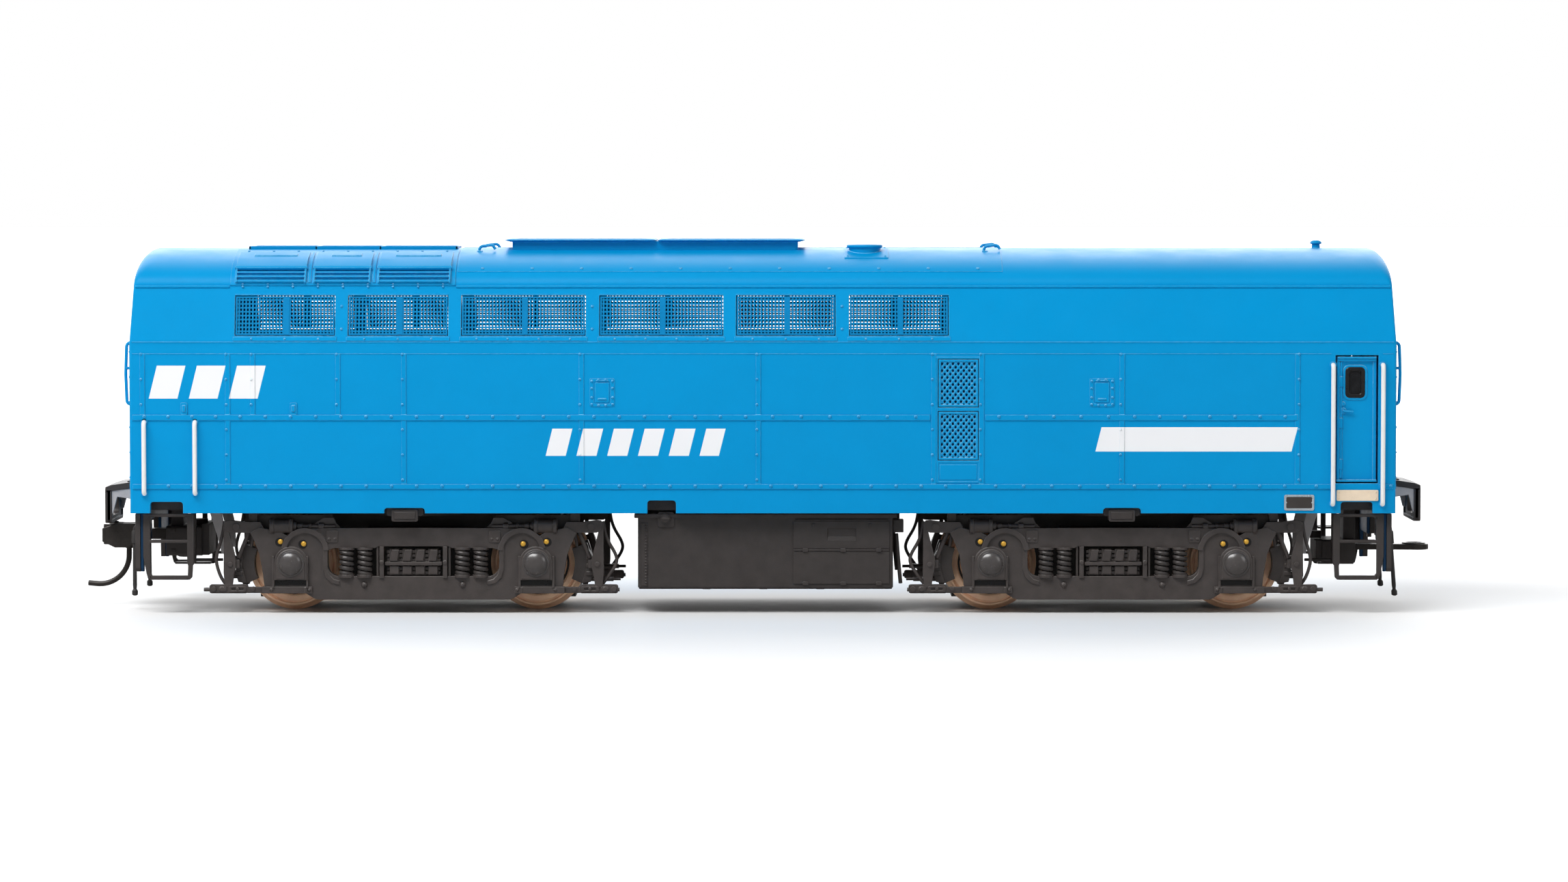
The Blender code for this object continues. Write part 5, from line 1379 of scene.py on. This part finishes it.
    def make_middle(self):
        """The leaf block between the posts: four clips over a stack of leaves."""
        for number in range(4):
            px = -2.72 + number * 1.82
            self.fine.box((px - 0.68, px + 0.68), (BACK, FACE - 0.45), (4.65, 8.35))
            self.fine.prism([(px - 0.62, 6.7), (px + 0.45, 6.7), (px + 0.68, 8.25), (px - 0.3, 8.25)], "Y",
                            BACK, FACE + 0.02)
            self.fine.prism([(px - 0.6, 4.85), (px + 0.6, 4.85), (px + 0.6, 5.95), (px - 0.6, 5.95)], "Y",
                            BACK, FACE - 0.1)
        self.fine.prism(rounded((-4.0, 4.0), (6.1, 6.55), 0.1, 2), "Y", BACK + 0.3, FACE + 0.14)
        for level in range(6):
            z = 4.75 + level * 0.6
            self.fine.box((-3.75, 3.75), (BACK, FACE - 0.6), (z, z + 0.42))


def make_sideframe(where, side, sign):
    made = Truckside()
    made.cast.plate([frame_outline(), opening_outline()[::-1]], "Y", BACK, FACE)
    outward = 1 if TRUCKS[where] > 0 else -1
    for end in (-1, 1):
        made.make_end(end, end != outward)
    made.make_middle()
    rides = {"side": sign, "body": f"truck_{where}", "shift": TRUCKS[where]}
    place(made.cast, f"truck_casting_{where}_{side}", "truck", bevel=0.12,
          replaces=(f"sideframe_{where}_{side}",), **rides)
    place(made.fine, f"truck_fittings_{where}_{side}", "truck", bevel=0.05, **rides)
    place(made.springs, f"truck_springs_{where}_{side}", "springs", **rides)
    place(made.domes, f"truck_bearing_caps_{where}_{side}", "dome", **rides)
    place(made.gold, f"truck_contacts_{where}_{side}", "gold", **rides)
    # The near-black slot strips and discs are painted shade for openings in the casting.
    place(made.holes, f"truck_contact_holes_{where}_{side}", "gasket", slot="truck_black", **rides)


WHEEL_BACK = 7.2                    # from the truck's centre line to a tyre's inner face


def make_wheelset(place_name, end):
    """Two flanged wheels with dished dark centres, on an axle with its drive gear."""
    spot = joint_place(f"wheelset_{place_name}_{end}_spin")
    body = f"wheelset_{place_name}_{end}"
    low, high = span(body)
    end_y = high.y
    tread, flange, back = spot.z, (high.z - low.z) / 2, WHEEL_BACK
    tyres, webs = Sketch(), Sketch()
    for sign in (-1, 1):
        rim = [(back, 4.5), (back, flange - 0.35), (back + 0.12, flange - 0.1), (back + 0.32, flange),
               (back + 0.5, flange - 0.12), (back + 0.66, flange - 0.45), (back + 0.9, tread + 0.06),
               (back + 1.1, tread), (back + 2.65, tread - 0.05), (back + 2.8, tread - 0.2),
               (back + 2.8, tread - 0.38), (back + 2.45, tread - 0.42), (back + 2.45, tread - 0.66),
               (back + 2.8, tread - 0.7), (back + 2.8, 4.7), (back + 2.6, 4.5), (back + 2.0, 4.4)]
        tyres.lathe([(sign * along, radius) for along, radius in rim], "Y", (0, 0), 72)
        web = [(back + 0.25, 4.6), (back + 2.1, 4.6), (back + 2.25, 4.4), (back + 1.75, 3.9),
               (back + 1.65, 2.6), (back + 2.0, 2.05), (back + 2.65, 1.85), (back + 2.8, 1.6),
               (back + 2.8, 1.05)]
        webs.lathe([(sign * along, radius) for along, radius in web], "Y", (0, 0), 48)
    axle_rows = [(-end_y, 0.35), (-end_y + 0.25, 1.0), (-3.2, 1.0), (-3.2, 1.35), (3.2, 1.35), (3.2, 1.0),
                 (end_y - 0.25, 1.0), (end_y, 0.35)]
    tyres.lathe(axle_rows, "Y", (0, 0), 32)
    place_at(spot, tyres, f"tyres_{place_name}_{end}", "wheel", body, bevel=0.05, replaces=(body,))
    place_at(spot, webs, f"wheel_centres_{place_name}_{end}", "wheel_face", body, bevel=0.04)
    gear = Sketch()
    outline, teeth, module = [], 15, 0.5
    phase = gear_phase(body, spot)
    for tooth in range(teeth):
        for radius, share in ((teeth * module / 2 - 0.6, -0.27), (teeth * module / 2 + 0.4, -0.12),
                              (teeth * module / 2 + 0.4, 0.12), (teeth * module / 2 - 0.6, 0.27)):
            turn = phase + (tooth + share) * 2 * math.pi / teeth
            outline.append((radius * math.cos(turn), radius * math.sin(turn)))
    gear.prism(outline, "Y", -1.0, 1.0)
    place_at(spot, gear, f"axle_gear_{place_name}_{end}", "gears", body, bevel=0.03)


def gear_phase(node, spot):
    """The direction of one tooth's middle on a wheelset's drive gear, read from the CAD mesh."""
    corners = {(round(v.co.x / MM - spot.x, 2), round(v.co.z / MM - spot.z,
                                                      2)) for v in frame["nodes"][node].data.vertices
               if abs(v.co.y / MM) < 1.05}
    tips = sorted(math.atan2(z, x) for x, z in corners if 4.05 < math.hypot(x, z) < 4.25)
    first, second, third = tips[:3]
    return (first + second) / 2 if second - first < third - second else (second + third) / 2


def place_at(spot, sketch, name, finish, body, **more):
    """Place a piece whose own origin is on its axle, so that its rings run true."""
    piece = as_object(sketch, name)
    piece.location = spot * MM
    dress(piece, finish, body, **more)


# ---- CAD nodes that stay ----------------------------------------------------------------
def paint_nodes():
    """Give each CAD node that still shows its own finish."""
    kinds = (("chassis", "cast"), ("motor_shaft", "steel"), ("motor", "motor"), ("flywheel", "brass"),
             ("drive_shaft", "steel"), ("worm_gear", "gears"), ("worm_cover", "gearbox"), ("worm", "steel"),
             ("transfer_gear", "gears"), ("idler_gear", "gears"), ("circuit", "board"),
             ("speaker", "under"), ("gearbox", "gearbox"), ("keeper", "gearbox"))
    for name, piece in frame["nodes"].items():
        finish = next((finish for start, finish in kinds if name.startswith(start)), "under")
        piece.data.materials.clear()
        piece.data.materials.append(FINISH[finish])


def make_keeper_details():
    """Screws and ribs under each truck's keeper plate, and the pickup strips beside it."""
    for place_name, centre_x in TRUCKS.items():
        low, high = span(f"keeper_plate_{place_name}")
        ribs, screws, strips = Sketch(), Sketch(), Sketch()
        for px in (-14.2, 0.0, 14.2):
            screws.lathe([(low.z + 0.1, 0.95), (low.z - 0.25, 0.95), (low.z - 0.45, 0.6)], "Z", (px, 0), 20)
            ribs.box((px - 3.2, px - 2.6), (low.y + 0.4, high.y - 0.4), (low.z - 0.15, low.z + 0.1))
            ribs.box((px + 2.6, px + 3.2), (low.y + 0.4, high.y - 0.4), (low.z - 0.15, low.z + 0.1))
        for sign in (-1, 1):
            y = between(sign * 5.35, sign * 5.6)
            strips.box((-20.4, 20.4), y, (8.4, 9.4))
            for end in (-1, 1):
                px = end * (AXLE_REACH + 0.6)
                strips.tube([(px - end * 4, sign * 5.5, 8.9), (px - end * 1.5, sign * 6.3, 9.2),
                             (px, sign * 7.0, 9.3)], 0.2, 8)
        rides = {"body": f"truck_{place_name}", "shift": centre_x}
        place(ribs, f"keeper_ribs_{place_name}", "gearbox", bevel=0.05, **rides)
        place(screws, f"keeper_screws_{place_name}", "steel", bevel=0.05, **rides)
        place(strips, f"pickup_strips_{place_name}", "gold", **rides)


# ---- stage ------------------------------------------------------------------------------
FLOOR_Z = -0.68
CAMERA_AT = Vector((2.9, -756.0, 60.0))
LOOK_AT = Vector((2.9, -16.0, 23.6))
LENS, SENSOR_WIDTH = 121.53, 36.0
CLIP_RANGE = (0.01, 20.0)           # metres
SOFTBOXES = (("top", (-260, -350, 540), (0.6, 0.3), 4.5), ("back", (0, 700, 260), (1.6, 0.35), 1.5),
             ("corner", (560, -420, 300), (0.3, 0.3), 0.45))


def is_seen(recipe):
    return recipe.add("ShaderNodeLightPath").outputs["Is Camera Ray"]


def make_floor():
    """A pale floor that fades to clear white away from the locomotive."""
    recipe = Recipe("pale_floor")
    tone = recipe.spread(recipe.noise(60.0, 3.0), 0.0, 1.0)
    pale = recipe.mix(tone, (0.84, 0.84, 0.84, 1), (0.88, 0.88, 0.875, 1))
    # Seen in glossy reflections the floor is dark: a painted shade in what shiny parts reflect.
    mirrored = recipe.add("ShaderNodeLightPath").outputs["Is Glossy Ray"]
    recipe.feed(recipe.shader.inputs["Base Color"], recipe.mix(mirrored, pale, (0.16, 0.15, 0.14, 1)))
    recipe.shader.inputs["Roughness"].default_value = 0.7
    recipe.shader.inputs["Specular IOR Level"].default_value = 0.15
    away = recipe.add("ShaderNodeVectorMath", {0: recipe.where}, operation="LENGTH").outputs["Value"]
    fade = recipe.math("MULTIPLY", recipe.spread(away, 0.0, 1.0, 0.14, 0.5), is_seen(recipe))
    recipe.shader.inputs["Emission Color"].default_value = (1.0, 1.0, 1.0, 1.0)
    recipe.feed(recipe.shader.inputs["Emission Strength"], fade)
    reach = 6.0
    mesh = bpy.data.meshes.new("floor")
    mesh.from_pydata([(-reach, -reach, FLOOR_Z * MM), (reach, -reach, FLOOR_Z * MM),
                      (reach, reach, FLOOR_Z * MM), (-reach, reach, FLOOR_Z * MM)], [], [(0, 1, 2, 3)])
    mesh.materials.append(recipe.material)
    floor = bpy.data.objects.new("floor", mesh)
    bpy.context.scene.collection.objects.link(floor)


def make_sky():
    """White to the camera; to the model, a studio that is brighter above and behind than in front."""
    world = bpy.data.worlds.new("studio")
    world.use_nodes = True
    tree = world.node_tree
    background = tree.nodes["Background"]

    def node(kind, **settings):
        made = tree.nodes.new(kind)
        for key, value in settings.items():
            setattr(made, key, value)
        return made

    def link(source, socket):
        tree.links.new(source, socket)

    parts = node("ShaderNodeSeparateXYZ")
    link(node("ShaderNodeTexCoord").outputs["Generated"], parts.inputs[0])
    total = None
    for axis, start, end, gain in (("Y", 0.3, 0.95, 2.9), ("Z", 0.1, 0.9, 0.2)):
        ramp = node("ShaderNodeMapRange", interpolation_type="SMOOTHSTEP")
        link(parts.outputs[axis], ramp.inputs["Value"])
        for key, value in (("From Min", start), ("From Max", end), ("To Min", 0.08), ("To Max", gain)):
            ramp.inputs[key].default_value = value
        if total is None:
            total = ramp.outputs["Result"]
        else:
            both = node("ShaderNodeMath", operation="ADD")
            link(total, both.inputs[0])
            link(ramp.outputs["Result"], both.inputs[1])
            total = both.outputs[0]
    choice = node("ShaderNodeMix", data_type="FLOAT")
    link(node("ShaderNodeLightPath").outputs["Is Camera Ray"], choice.inputs[0])
    link(total, choice.inputs[2])
    choice.inputs[3].default_value = 1.0
    background.inputs["Color"].default_value = (1.0, 1.0, 1.0, 1.0)
    link(choice.outputs[0], background.inputs["Strength"])
    bpy.context.scene.world = world


def make_stage():
    """Floor, surroundings, soft lights and the camera."""
    make_floor()
    make_sky()
    for name, spot, size, power in SOFTBOXES:
        light = bpy.data.lights.new(name, "AREA")
        light.shape = "RECTANGLE"
        light.size, light.size_y = size
        light.energy = power
        lamp = bpy.data.objects.new(name, light)
        lamp.visible_camera = False
        lamp.location = Vector(spot) * MM
        lamp.rotation_euler = (LOOK_AT * MM - lamp.location).to_track_quat("-Z", "Y").to_euler()
        bpy.context.scene.collection.objects.link(lamp)

    camera = bpy.data.cameras.new("camera")
    camera.lens, camera.sensor_width = LENS, SENSOR_WIDTH
    camera.clip_start, camera.clip_end = CLIP_RANGE
    viewer = bpy.data.objects.new("camera", camera)
    viewer.location = CAMERA_AT * MM
    viewer.rotation_euler = (LOOK_AT - CAMERA_AT).to_track_quat("-Z", "Y").to_euler()
    bpy.context.scene.collection.objects.link(viewer)
    bpy.context.scene.camera = viewer
    bpy.context.scene.view_settings.view_transform = "Standard"


def main():
    make_shell()
    make_roof_hatch()
    make_roof_sheets()
    make_radiator_hatch()
    make_exhaust()
    for side, sign in SIDES:
        make_side_skin(side, sign)
        make_window_band(side, sign)
        make_screens(side, sign)
        make_grilles(side, sign)
        make_door(side, sign)
        make_handrails(side, sign)
    for name, end_x, out in (("front", FRONT, 1), ("rear", REAR, -1)):
        make_end_wall(name, end_x, out)
        make_buffer(name, end_x, out)
        make_pilot(name, out)
    make_couplers()
    make_drawbar()
    make_tank()
    make_frame_brackets()
    for where in TRUCKS:
        for side, sign in SIDES:
            make_sideframe(where, side, sign)
        for end in ("inner", "outer"):
            make_wheelset(where, end)
    make_keeper_details()
    paint_nodes()
    make_stage()


main()
